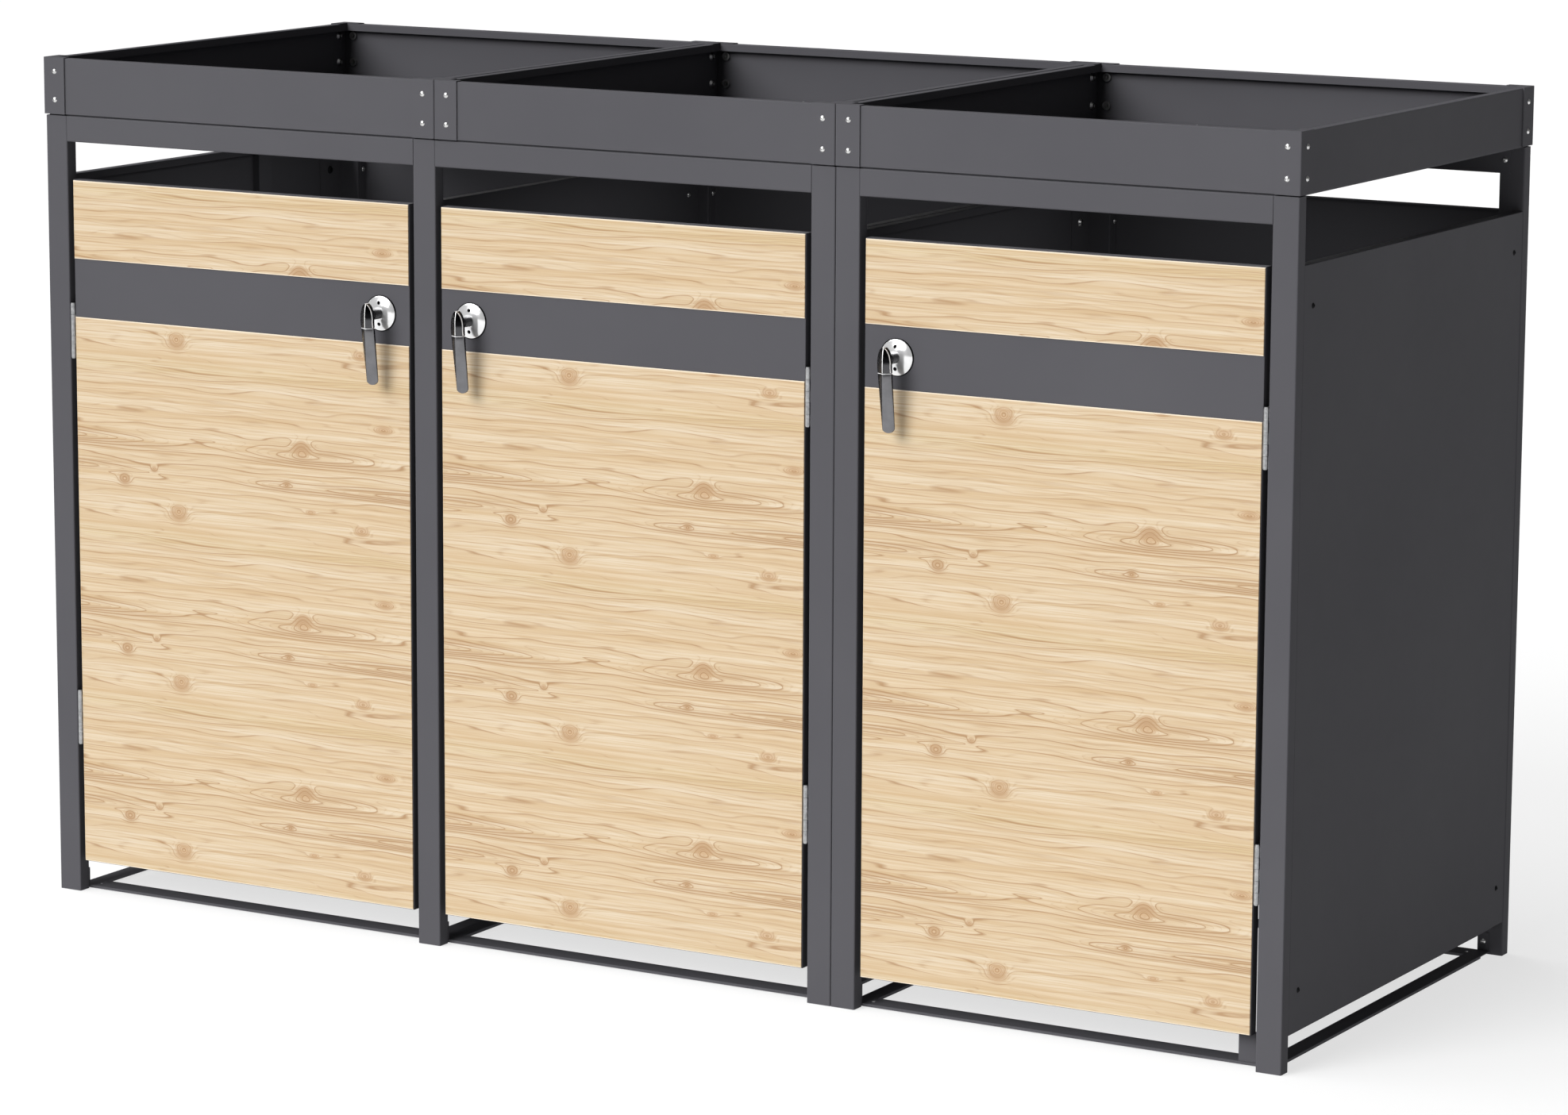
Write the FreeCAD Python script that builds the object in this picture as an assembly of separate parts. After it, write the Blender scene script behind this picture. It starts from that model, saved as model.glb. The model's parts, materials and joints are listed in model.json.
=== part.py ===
import FreeCAD, Part
import math
import os

V = FreeCAD.Vector

# Store for three wheelie bins: a double unit (bays 1 and 2) and a single unit (bay 3), side by side.
# Millimetres. X runs along the front, the doors face -Y and Z is up from the ground.
# The origin is under the middle of the store, on the ground.

# Driving dimensions: the frame
bay_w = 617.0          # clear width between two front posts
store_d = 775.0        # front face to rear face of the posts
post_w = 38.0          # face width of a post
post_d = 22.0          # depth of a post
post_h = 1178.0        # ground to the top of the posts
post_t = 1.5           # sheet of the posts and beams
beam_h = 38.0          # height of the top beams
bend_r = 2.0           # outside radius of the folded frame sections
unit_gap = 0.5         # seam between the double and the single unit
tail_l = 55.0          # flange behind a post that a wall is bolted to
tail_step = 1.8        # the tail lies this far inside the post's side
tail_trim = 7.0        # the tail stops this far short of the wall's top and bottom
tab_l = 17.0           # beam's end tab, behind the post
tab_t = 1.5            # sheet of the tabs

# Driving dimensions: walls and rear panels
wall_z0 = 51.0         # lower edge of the walls
wall_vent = 53.0       # open height between the walls and the beams
wall_t = 1.2           # sheet of the walls and rear panels
wall_fold = 15.0       # inward fold at the top and bottom of a wall
wall_lip = 11.0        # turned-down lip of those folds
wall_screw_y = 28.0    # wall screws from the posts
wall_screw_z = 56.0    # wall screws from the wall's upper and lower edge
rib_w = 33.0           # stiffening rib on the inside of the left wall
rib_d = 12.0
rib_share = 0.7        # place of the rib along the wall
panel_fold = 15.0      # side folds of a rear panel
panel_inset = 1.0      # rear panel behind the posts' rear face

# Driving dimensions: base rails
rail_w = 35.0          # front and rear base rail, front to back
side_rail_w = 26.0     # side base rail
side_rail_inset = 19.0 # side base rail from the outer face of its post
rail_top = 5.0         # top of the base rails above the ground
rail_foot = 1.0        # gap under the base rails' lips
rail_t = 1.5
foot_tab_h = 32.0      # bent-up end tab of a base rail
anchor_r = 3.5         # holes for ground anchors in the base rails
anchor_x = 47.0        # anchor holes from the outer face of a unit
plate_side = 36.0      # foot plate beside the right front post
plate_h = 48.0
plate_t = 2.0

# Driving dimensions: planter trays
tray_h = 86.0          # top of the posts to the tray's rim
floor_t = 2.0          # tray floor sheet, seen as the dark line under a tray
floor_inset = 4.0      # tray floor inside the tray's rails
tray_t = 1.2           # sheet of the tray rails
rim_w = 14.0           # rail's top flange, turned inward
rim_lip = 11.0         # rail's turned-down lip
rim_foot = 12.0        # rail's bottom flange
corner_w = 36.0        # wing of a corner bracket, from the rail's corner
corner_t = 2.0         # sheet of the corner brackets
cap_t = 1.2            # top of a corner bracket, over the rails' rim
tray_gap = 0.3         # seam between two trays
mitre_gap = 0.3        # seam between two rails of a tray
tray_bolt_z = 21.0     # corner bolts from the tray's rim and from its foot
gutter_d = 2.0         # the corner bolt's nut clears the sheets by this much

# Driving dimensions: doors
door_gap = 8.5         # gap at each side of a door
door_z0 = 48.0         # lower edge of a door above the ground
door_head = 56.0       # open height between a door and the beam
upper_h = 117.5        # upper plate, down from the door's upper edge
band_h = 87.5          # plain band with the handle
door_t = 16.0          # depth of the door pan
pan_t = 1.2            # sheet of the door pan
pan_lip = 14.0         # pan's lip round the back
skin_t = 1.5           # wood-look plates on the door
skin_edge = 1.0        # pan that shows round the plates
skin_back = 0.5        # plates behind the posts' front face

# Driving dimensions: hinges
hinge_h = 80.0
hinge_foot = 222.0     # middle of the lower hinge above the door's lower edge
hinge_drop = 226.0     # middle of the upper hinge below the door's upper edge
knuckles = 5
knuckle_gap = 0.4
barrel_r = 3.75
pin_r = 1.9
pin_fit = 0.06         # running clearance between a pin and its knuckles
pin_head_r = 3.2
pin_head_h = 1.6
pin_set = 2.0          # hinge axis behind the posts' front face
leaf_t = 1.2
leaf_w = 16.0          # leaf behind the hinge axis
leaf_notch = 0.6       # clearance round the other leaf's knuckles

# Driving dimensions: handles
handle_drop = 43.0     # handle axis below the band's upper edge
handle_inset = 50.0    # handle axis from the door's free edge
rosette_r = 26.5
rosette_t = 3.0
rosette_boss_r = 14.0
rosette_boss_t = 3.5
rosette_hole_r = 2.6   # screw hole above the handle
rosette_hole_up = 17.0
neck_r = 9.5           # threaded neck through the door
neck_back = 8.0        # neck behind the door's front sheet
spindle_r = 6.0
spindle_fit = 0.08     # running clearance in the neck
lock_nut_r = 15.0
lock_nut_t = 4.0
hub_gap = 0.4          # lever off the rosette
stem_r = 7.5           # stem between rosette and hub
stem_l = 25.0
lever_w = 21.0         # grip, across
lever_top = 18.0       # hub above the axis
hub_foot = 10.0        # hub below it
lever_drop = 101.0     # grip's end below the axis
lever_deep = 12.0      # hub, front to back
lever_thin = 4.0       # grip's end, front to back
lever_sweep = 8.0      # grip's end nearer to the door than the hub's back
lever_wedge = 3.0      # hub's front tapers back by this much at its top
ridge_top = 1.5        # ridge on the grip's front, right of its middle at the hub
ridge_end = -8.0       # and near its left edge at the end
arch_side = 8.4        # from the hub's top to the arch's shoulders
arch_foot = 22.4       # and to its full width
grip_shift = 2.0       # grip's end stands this much further right than the hub
facet_fall = 7.0       # fall of both facets from the ridge to the edges, at the hub
seam_drop = 6.0        # groove between hub and grip, below the hub
seam_w = 0.7
seam_d = 0.4
cam_w = 20.0
cam_t = 3.0
cam_l = 71.0           # cam beyond the spindle's axis
cam_gap = 1.5          # cam behind the post's rear face
cam_nut_r = 10.0
cam_nut_t = 5.0
cam_eye_fit = 0.05

# Driving dimensions: fasteners
bolt_r = 2.0           # shank of the small bolts
head_r = 3.8
head_h = 2.2
socket_r = 1.3
socket_d = 1.2
nut_r = 4.0
nut_h = 3.2
hole_fit = 0.2         # hole larger than the shank, on the radius
nut_fit = 0.1          # nut's thread line, on the radius
shank_out = 1.0        # shank beyond its nut

# Derived places
overall_w = 5 * post_w + 3 * bay_w + unit_gap
lever_y = skin_back + skin_t - rosette_t - rosette_boss_t - hub_gap - stem_l  # hub's back, from the posts
front = (lever_deep - lever_y - store_d - corner_t - head_h) / 2
back = front + store_d
x_start = -overall_w / 2
pitch = post_w + bay_w
post_x = {
    "left": x_start,
    "middle": x_start + pitch,
    "double_end": x_start + 2 * pitch,
    "single_end": x_start + 2 * pitch + post_w + unit_gap,
    "right": x_start + 3 * pitch + post_w + unit_gap,
}
bays = [  # left and right post of each bay
    ("left", "middle"),
    ("middle", "double_end"),
    ("single_end", "right"),
]
wall_side = {"left": -1, "middle": 0, "double_end": 1, "single_end": -1, "right": 1}
beam_z0 = post_h - beam_h
wall_z1 = beam_z0 - wall_vent
door_z1 = beam_z0 - door_head
band_z1 = door_z1 - upper_h
band_z0 = band_z1 - band_h
handle_z = band_z1 - handle_drop
hinge_z = (door_z0 + hinge_foot, door_z1 - hinge_drop)
tray_z0 = post_h + floor_t
tray_z1 = post_h + tray_h
skin_y = front + skin_back
pan_y = skin_y + skin_t
hinge_y = front + pin_set
cam_y = front + post_d + cam_gap

nodes = {}   # node name to its list of solids
holes = {}   # node name to the drills that pass through it


def add(name, *solids):
    nodes.setdefault(name, []).extend(solids)


def drill(names, tool):
    for name in names:
        holes.setdefault(name, []).append(tool)


def slab(x, y, z):
    """A block from its low and high limits on each axis."""
    (x0, x1), (y0, y1), (z0, z1) = sorted(x), sorted(y), sorted(z)
    return Part.makeBox(x1 - x0, y1 - y0, z1 - z0, V(x0, y0, z0))


def rod(base, axis, radius, length):
    return Part.makeCylinder(radius, length, base, axis)


def rounded_face(corners):
    """A flat face from (point, radius) corners; a radius of 0 leaves the corner sharp."""
    starts, ends, arcs = [], [], []
    count = len(corners)
    for i, (point, radius) in enumerate(corners):
        to_last = (corners[i - 1][0] - point).normalize()
        to_next = (corners[(i + 1) % count][0] - point).normalize()
        half = to_last.getAngle(to_next) / 2
        reach = radius / math.tan(half)
        starts.append(point + to_last * reach)
        ends.append(point + to_next * reach)
        middle = (to_last + to_next).normalize()
        arcs.append(point + middle * (radius / math.sin(half) - radius))
    edges = []
    for i in range(count):
        if corners[i][1] > 0:
            edges.append(Part.Arc(starts[i], arcs[i], ends[i]).toShape())
        edges.append(Part.LineSegment(ends[i], starts[(i + 1) % count]).toShape())
    return Part.Face(Part.Wire(edges))


def rounded_slab(x, y, z, radius, along):
    """A block whose four edges along one axis are rounded."""
    (x0, x1), (y0, y1), (z0, z1) = sorted(x), sorted(y), sorted(z)
    if along == "z":
        points = [V(x0, y0, z0), V(x1, y0, z0), V(x1, y1, z0), V(x0, y1, z0)]
        sweep = V(0, 0, z1 - z0)
    else:
        points = [V(x0, y0, z0), V(x0, y1, z0), V(x0, y1, z1), V(x0, y0, z1)]
        sweep = V(x1 - x0, 0, 0)
    return rounded_face([(p, radius) for p in points]).extrude(sweep)


def bolt(name, point, axis, grip, through, nut=True):
    """A dome-headed bolt: the head sits on point, the shank runs back along -axis through grip."""
    dome = Part.makeSphere(head_r * 1.15, point - axis * (head_r * 1.15 - head_h))
    head = dome.common(rod(point, axis, head_r, head_h))
    socket = rod(point + axis * (head_h - socket_d), axis, socket_r, socket_d)
    end = grip + (nut_h if nut else 0) + shank_out
    shank = rod(point, axis * -1, bolt_r, end)
    add(name, head.fuse(shank).cut(socket))
    if nut:
        add(name, hex_nut(point - axis * grip, axis * -1, nut_r, nut_h, bolt_r + nut_fit))
    drill(through, rod(point + axis, axis * -1, bolt_r + hole_fit, grip + 2))


def hex_nut(base, axis, radius, height, bore):
    """A hexagon nut on base, its flats' corners at radius."""
    side = axis.cross(V(0, 0, 1)) if abs(axis.z) < 0.5 else V(1, 0, 0)
    side.normalize()
    up = axis.cross(side)
    corners = [
        base + side * (radius * math.cos(k * math.pi / 3)) + up * (radius * math.sin(k * math.pi / 3))
        for k in range(7)
    ]
    block = Part.Face(Part.makePolygon(corners)).extrude(axis * height)
    return block.cut(rod(base - axis, axis, bore, height + 2))


def inner_faces(bay):
    """X of the clear opening between a bay's two posts."""
    left, right = bays[bay]
    return post_x[left] + post_w, post_x[right]


# Frame: posts, beams

def tail_x(post):
    """X limits of a post's wall flange."""
    x0 = post_x[post]
    side = wall_side[post]
    if side == 0:
        return x0 + post_w / 2 - post_t, x0 + post_w / 2
    if side < 0:
        return x0 + tail_step, x0 + tail_step + post_t
    return x0 + post_w - tail_step - post_t, x0 + post_w - tail_step


def make_post(post, at_front):
    """A folded box section with a flange for the wall behind it."""
    x0 = post_x[post]
    y = (front, front + post_d) if at_front else (back - post_d, back)
    outer = rounded_slab((x0, x0 + post_w), y, (0, post_h), bend_r, "z")
    hollow = slab(
        (x0 + post_t, x0 + post_w - post_t), (y[0] + post_t, y[1] - post_t), (-1, post_h + 1)
    )
    inward = front + post_d if at_front else back - post_d
    reach = tail_l if at_front else -tail_l
    sunk = -post_t / 2 if at_front else post_t / 2
    tail = slab(tail_x(post), (inward + sunk, inward + reach), (wall_z0 + tail_trim, wall_z1 - tail_trim))
    place = "front" if at_front else "rear"
    add(f"{post}_{place}_post", outer.cut(hollow).fuse(tail).removeSplitter())


def beam_node(bay, at_front):
    return f"front_beam_{bay + 1}" if at_front else "rear_beams"


def make_beam(bay, at_front):
    """A box beam between two posts; its inner sheet runs on as a tab behind each post."""
    x0, x1 = inner_faces(bay)
    y = (front, front + post_d) if at_front else (back - post_d, back)
    inward = y[1] if at_front else y[0]
    step = 1 if at_front else -1
    place = "front" if at_front else "rear"
    name = beam_node(bay, at_front)
    tube = rounded_slab((x0, x1), y, (beam_z0, post_h), bend_r, "x")
    hollow = slab((x0 - 1, x1 + 1), (y[0] + post_t, y[1] - post_t), (beam_z0 + post_t, post_h - post_t))
    plate = slab((x0 - tab_l, x1 + tab_l), (inward, inward + step * tab_t), (beam_z0, post_h - bend_r))
    root = slab((x0, x1), (inward - step * post_t / 2, inward), (beam_z0 + bend_r, post_h - bend_r))
    add(name, tube.cut(hollow).fuse([plate, root]).removeSplitter())
    left, right = bays[bay]
    for x, post in ((x0 - tab_l / 2, left), (x1 + tab_l / 2, right)):
        head = V(x, inward + step * tab_t, (beam_z0 + post_h) / 2)
        bolt("frame_bolts", head, V(0, step, 0), tab_t + post_t, [name, f"{post}_{place}_post"], nut=False)


# Walls and rear panels

def wall_lines(post):
    """X of a wall's outer face, and the direction towards its own bay."""
    side = wall_side[post]
    low, high = tail_x(post)
    if side < 0:
        return low - wall_t, 1
    if side > 0:
        return high + wall_t, -1
    return high + wall_t, -1


def make_wall(post, name):
    """A sheet wall, folded inward and turned down at its top and bottom, bolted to two tails."""
    outer, step = wall_lines(post)
    y0, y1 = front + post_d + hole_fit, back - post_d - hole_fit
    add(name, folded_wall_face(outer, step, y0).extrude(V(0, y1 - y0, 0)))


def folded_wall_face(outer, step, y0):
    """The wall's section: top fold with its lip, the sheet, and the bottom fold with its lip."""
    t = wall_t
    inner = outer + step * (wall_fold + t)

    def at(x, z):
        return V(x, y0, z)

    corners = [
        (at(outer, wall_z0), 0),
        (at(outer, wall_z1), t),
        (at(inner, wall_z1), t),
        (at(inner, wall_z1 - wall_lip), 0),
        (at(inner - step * t, wall_z1 - wall_lip), 0),
        (at(inner - step * t, wall_z1 - t), 0),
        (at(outer + step * t, wall_z1 - t), 0),
        (at(outer + step * t, wall_z0 + t), 0),
        (at(inner, wall_z0 + t), t),
        (at(inner, wall_z0 - wall_lip), 0),
        (at(inner - step * t, wall_z0 - wall_lip), 0),
        (at(inner - step * t, wall_z0), 0),
    ]
    return rounded_face(corners)


def screw_places():
    """Y and Z of the four bolts of a wall."""
    y_front = front + post_d + wall_screw_y
    y_back = back - post_d - wall_screw_y
    return [
        (y, z, place)
        for y, place in ((y_front, "front"), (y_back, "rear"))
        for z in (wall_z0 + wall_screw_z, wall_z1 - wall_screw_z)
    ]


def bolt_walls():
    """Outer walls from outside, the partition from bay 2, and the two units to each other."""
    for post, wall in (("left", "left_wall"), ("right", "right_wall"), ("middle", "middle_partition")):
        outer, step = wall_lines(post)
        group = "frame_bolts" if post == "middle" else "wall_screws"
        for y, z, place in screw_places():
            bolt(group, V(outer, y, z), V(-step, 0, 0), wall_t + post_t, [wall, f"{post}_{place}_post"])
    inside = tail_x("double_end")[0]
    outside = tail_x("single_end")[1]
    for y, z, place in screw_places():
        through = ["double_end_wall", "single_end_wall"]
        through += [f"double_end_{place}_post", f"single_end_{place}_post"]
        bolt("frame_bolts", V(inside, y, z), V(-1, 0, 0), outside - inside, through)


def make_rib():
    """A channel that stiffens the left wall, on its inside."""
    outer, step = wall_lines("left")
    x = outer + step * wall_t
    y = front + post_d + rib_share * (store_d - 2 * post_d) - rib_w / 2
    z = wall_z0 + 2 * wall_t
    height = wall_z1 - wall_lip - 2 * wall_t - z
    web = slab((x, x + step * rib_d), (y, y + rib_w), (z, z + height))
    hollow = slab(
        (x - step, x + step * (rib_d - wall_t)), (y + wall_t, y + rib_w - wall_t), (z - 1, z + height + 1)
    )
    add("left_wall_rib", web.cut(hollow))


def make_rear_panel(bay):
    """A sheet between two rear posts, folded forward at both sides and at its top and bottom."""
    x0, x1 = inner_faces(bay)
    y1 = back - panel_inset
    y0 = y1 - panel_fold
    body = slab((x0, x1), (y0, y1), (wall_z0, wall_z1))
    hollow = slab((x0 + wall_t, x1 - wall_t), (y0 - 1, y1 - wall_t), (wall_z0 + wall_t, wall_z1 - wall_t))
    name = f"rear_panel_{bay + 1}"
    add(name, body.cut(hollow))
    left, right = bays[bay]
    y = (y0 + y1) / 2
    for x, axis, post in ((x0 + wall_t, V(1, 0, 0), left), (x1 - wall_t, V(-1, 0, 0), right)):
        for z in (wall_z0 + wall_screw_z, wall_z1 - wall_screw_z):
            through = [name, f"{post}_rear_post"]
            bolt("frame_bolts", V(x, y, z), axis, wall_t + post_t, through, nut=False)


# Base rails

def channel(x, y, sweep_x):
    """A shallow channel, open below, whose lips end just above the ground."""
    (x0, x1), (y0, y1) = sorted(x), sorted(y)
    body = slab((x0, x1), (y0, y1), (rail_foot, rail_top))
    if sweep_x:
        hollow = slab((x0 - 1, x1 + 1), (y0 + rail_t, y1 - rail_t), (0, rail_top - rail_t))
    else:
        hollow = slab((x0 + rail_t, x1 - rail_t), (y0 - 1, y1 + 1), (0, rail_top - rail_t))
    return body.cut(hollow)


def side_rail_x(post):
    """X limits of the side base rail beside a post, towards the post's own unit."""
    x0 = post_x[post]
    if wall_side[post] < 0:
        return x0 + side_rail_inset, x0 + side_rail_inset + side_rail_w
    if wall_side[post] > 0:
        return x0 + post_w - side_rail_inset - side_rail_w, x0 + post_w - side_rail_inset
    middle = x0 + post_w / 2
    return middle - side_rail_w, middle + side_rail_w


def make_base_rails(bay):
    """Front and rear base rail of a bay, with an upright tab bolted behind each post."""
    left, right = bays[bay]
    x0 = side_rail_x(left)[0]
    x1 = side_rail_x(right)[1]
    if wall_side[left] == 0:
        x0 = (side_rail_x(left)[0] + side_rail_x(left)[1]) / 2 + mitre_gap / 2
    if wall_side[right] == 0:
        x1 = (side_rail_x(right)[0] + side_rail_x(right)[1]) / 2 - mitre_gap / 2
    clear0, clear1 = inner_faces(bay)
    for place, y, step in (("front", front + post_d, 1), ("rear", back - post_d, -1)):
        node = f"{place}_base_rails"
        rail = channel((x0, x1), (y, y + step * rail_w), True)
        tabs = []
        for inner, out, post in ((clear0, -1, left), (clear1, 1, right)):
            tab_x = (inner, inner + out * tab_l)
            tabs.append(slab(tab_x, (y, y + step * tab_t), (rail_top - rail_t, foot_tab_h)))
            plate = plate_t if (place, post) == ("front", "right") else 0
            head = V(inner + out * tab_l / 2, y + step * (tab_t + plate), (rail_top + foot_tab_h) / 2)
            through = [node, "foot_plate", f"{post}_{place}_post"]
            bolt("frame_bolts", head, V(0, step, 0), tab_t + plate + post_t, through, nut=False)
        add(node, rail.fuse(tabs).removeSplitter())


def make_side_rails():
    """Side base rails between the front and rear ones, a pair of them under the partition."""
    y0 = front + post_d + rail_w
    y1 = back - post_d - rail_w
    for post in post_x:
        x0, x1 = side_rail_x(post)
        if wall_side[post] == 0:
            middle = (x0 + x1) / 2
            add("side_base_rails", channel((x0, middle - mitre_gap / 2), (y0, y1), False))
            add("side_base_rails", channel((middle + mitre_gap / 2, x1), (y0, y1), False))
        else:
            add("side_base_rails", channel((x0, x1), (y0, y1), False))


def drill_anchors():
    """Holes for ground anchors near the four corners of each unit."""
    for left, right in (("left", "double_end"), ("single_end", "right")):
        for x in (post_x[left] + anchor_x, post_x[right] + post_w - anchor_x):
            for y, node in ((front + post_d + rail_w / 2, "front_base_rails"),
                            (back - post_d - rail_w / 2, "rear_base_rails")):
                drill([node], rod(V(x, y, -1), V(0, 0, 1), anchor_r, rail_top + 2))


def make_foot_plate():
    """A plate beside the foot of the right front post, clamped to the base rail's tab."""
    x1 = post_x["right"]
    y0 = front + post_d + tab_t
    add("foot_plate", slab((x1 - plate_side, x1 + tab_l), (y0, y0 + plate_t), (rail_top, plate_h)))


# Planter trays

def tray_limits(tray):
    """X limits of a tray's rails; at its outer ends a corner bracket stands proud of the posts."""
    seams = [
        post_x["left"],
        post_x["middle"] + post_w,
        post_x["double_end"] + post_w + unit_gap / 2,
        post_x["right"] + post_w,
    ]
    inset = corner_t + tray_gap / 2
    x0 = seams[tray] if tray == 0 else seams[tray] + inset
    x1 = seams[tray + 1] if tray == 2 else seams[tray + 1] - inset
    return x0, x1


def tray_rail(corner, along, inward, length):
    """A folded rail with a rim turned inward and down, mitred at both ends."""
    z0, z1 = tray_z0, tray_z1 - cap_t
    t = tray_t

    def at(u, z):
        return corner + inward * u + V(0, 0, z)

    section = rounded_face([
        (at(rim_foot, z0), 0),
        (at(0, z0), bend_r / 2),
        (at(0, z1), bend_r / 2),
        (at(rim_w, z1), bend_r / 2),
        (at(rim_w, z1 - rim_lip), 0),
        (at(rim_w - t, z1 - rim_lip), 0),
        (at(rim_w - t, z1 - t), 0),
        (at(t, z1 - t), 0),
        (at(t, z0 + t), 0),
        (at(rim_foot, z0 + t), 0),
    ])
    rail = section.extrude(along * length)
    cut = mitre_gap / 2 * math.sqrt(2)
    plan = [
        at(-1, z0 - 1) + along * (cut - 1),
        at(-1, z0 - 1) + along * (length - cut + 1),
        at(rim_w + 1, z0 - 1) + along * (length - cut - rim_w - 1),
        at(rim_w + 1, z0 - 1) + along * (cut + rim_w + 1),
    ]
    wedge = Part.Face(Part.makePolygon(plan + plan[:1])).extrude(V(0, 0, z1 - z0 + 2))
    return rail.common(wedge)


def corner_bracket(corner, a, b):
    """An L bracket outside two rails, with a cap over their rim; a and b run along the rails."""
    t = corner_t

    def at(u, v, z):
        return corner + a * u + b * v + V(0, 0, z)

    wings = [(-t, -t), (corner_w, -t), (corner_w, 0), (0, 0), (0, corner_w), (-t, corner_w)]
    radii = [t, 0, 0, 0, 0, 0]
    wall = rounded_face([(at(u, v, tray_z0), r) for (u, v), r in zip(wings, radii)])
    cap = [(-t, -t), (corner_w, -t), (corner_w, rim_w), (rim_w, rim_w), (rim_w, corner_w), (-t, corner_w)]
    radii = [t, 0, rim_w / 3, 0, rim_w / 3, 0]
    top = rounded_face([(at(u, v, tray_z1 - cap_t), r) for (u, v), r in zip(cap, radii)])
    wall = wall.extrude(V(0, 0, tray_z1 - tray_z0))
    return wall.fuse(top.extrude(V(0, 0, cap_t))).removeSplitter()


def make_tray(tray):
    x0, x1 = tray_limits(tray)
    y0, y1 = front, back
    rails = f"tray_{tray + 1}_rails"
    ex, ey = V(1, 0, 0), V(0, 1, 0)
    add(
        rails,
        tray_rail(V(x0, y0, 0), ex, ey, x1 - x0),
        tray_rail(V(x0, y1, 0), ex, ey * -1, x1 - x0),
        tray_rail(V(x0, y0, 0), ey, ex, y1 - y0),
        tray_rail(V(x1, y0, 0), ey, ex * -1, y1 - y0),
    )
    for x, a in ((x0, ex), (x1, ex * -1)):
        for y, b in ((y0, ey), (y1, ey * -1)):
            add("tray_corner_brackets", corner_bracket(V(x, y, 0), a, b))
    floor = f"tray_{tray + 1}_floor"
    edge = floor_inset
    add(floor, slab((x0 + edge, x1 - edge), (y0 + edge, y1 - edge), (post_h, tray_z0)))
    reach = rim_foot + head_r + hole_fit
    for y, at_front in ((y0 + reach, True), (y1 - reach, False)):
        for share in (0.25, 0.75):
            head = V(x0 + share * (x1 - x0), y, tray_z0)
            through = [floor, beam_node(tray, at_front)]
            bolt("tray_bolts", head, V(0, 0, 1), floor_t + post_t, through, nut=False)


def bolt_trays():
    """Two bolts through each wing of each corner bracket; inner wings share theirs."""
    heights = (tray_z0 + tray_bolt_z, tray_z1 - tray_bolt_z)
    half = corner_w / 2
    grip = corner_t + tray_t
    for tray in range(3):
        x0, x1 = tray_limits(tray)
        rails = f"tray_{tray + 1}_rails"
        through = [rails, "tray_corner_brackets"]
        for z in heights:
            for x in (x0 + half, x1 - half):
                bolt("tray_bolts", V(x, front - corner_t, z), V(0, -1, 0), grip, through)
                bolt("tray_bolts", V(x, back + corner_t, z), V(0, 1, 0), grip, through)
            for y in (front + half, back - half):
                if tray == 0:
                    bolt("tray_bolts", V(x0 - corner_t, y, z), V(-1, 0, 0), grip, through)
                if tray == 2:
                    bolt("tray_bolts", V(x1 + corner_t, y, z), V(1, 0, 0), grip, through)
                else:
                    shared = through + [f"tray_{tray + 2}_rails"]
                    inside = x1 - tray_t
                    bolt("tray_bolts", V(inside, y, z), V(-1, 0, 0), 2 * grip + tray_gap, shared)


# Doors

def door_places(bay):
    """X limits of a door, its hinge axis and which side it is hinged on (-1 left, 1 right)."""
    x0, x1 = inner_faces(bay)
    hinged = -1 if bay == 0 else 1
    axis_x = x0 + door_gap / 2 if hinged < 0 else x1 - door_gap / 2
    handle_x = x1 - door_gap - handle_inset if hinged < 0 else x0 + door_gap + handle_inset
    return x0 + door_gap, x1 - door_gap, axis_x, hinged, handle_x


def make_door(bay):
    """A folded steel pan with two wood-look plates and a plain band between them."""
    x0, x1, _, _, handle_x = door_places(bay)
    name = f"door_{bay + 1}_pan"
    y1 = pan_y + door_t
    outer = slab((x0, x1), (pan_y, y1), (door_z0, door_z1))
    front_edges = [e for e in outer.Edges if all(abs(v.Point.y - pan_y) < 0.01 for v in e.Vertexes)]
    outer = outer.makeFillet(pan_t * 0.8, front_edges)
    t = pan_t
    hollow = slab((x0 + t, x1 - t), (pan_y + t, y1 - t), (door_z0 + t, door_z1 - t))
    window = slab(
        (x0 + pan_lip, x1 - pan_lip), (y1 - 2 * t, y1 + 1), (door_z0 + pan_lip, door_z1 - pan_lip)
    )
    add(name, outer.cut([hollow, window]))
    drill([name], rod(V(handle_x, pan_y - 1, handle_z), V(0, 1, 0), neck_r + hole_fit, t + 2))
    for part, z in (("lower", (door_z0 + skin_edge, band_z0)), ("upper", (band_z1, door_z1 - skin_edge))):
        skin = slab((x0 + skin_edge, x1 - skin_edge), (skin_y, pan_y), z)
        lips = [e for e in skin.Edges if all(abs(v.Point.y - skin_y) < 0.01 for v in e.Vertexes)]
        add(f"door_{bay + 1}_{part}_plate", skin.makeFillet(skin_t * 0.3, lips))


def knuckle_spans(own):
    """Z limits, from the hinge's foot, of one leaf's knuckles; own is 0 or 1."""
    step = hinge_h / knuckles
    spans = []
    for k in range(own, knuckles, 2):
        low = k * step + (knuckle_gap / 2 if k > 0 else 0)
        high = (k + 1) * step - (knuckle_gap / 2 if k < knuckles - 1 else 0)
        spans.append((low, high))
    return spans


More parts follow.
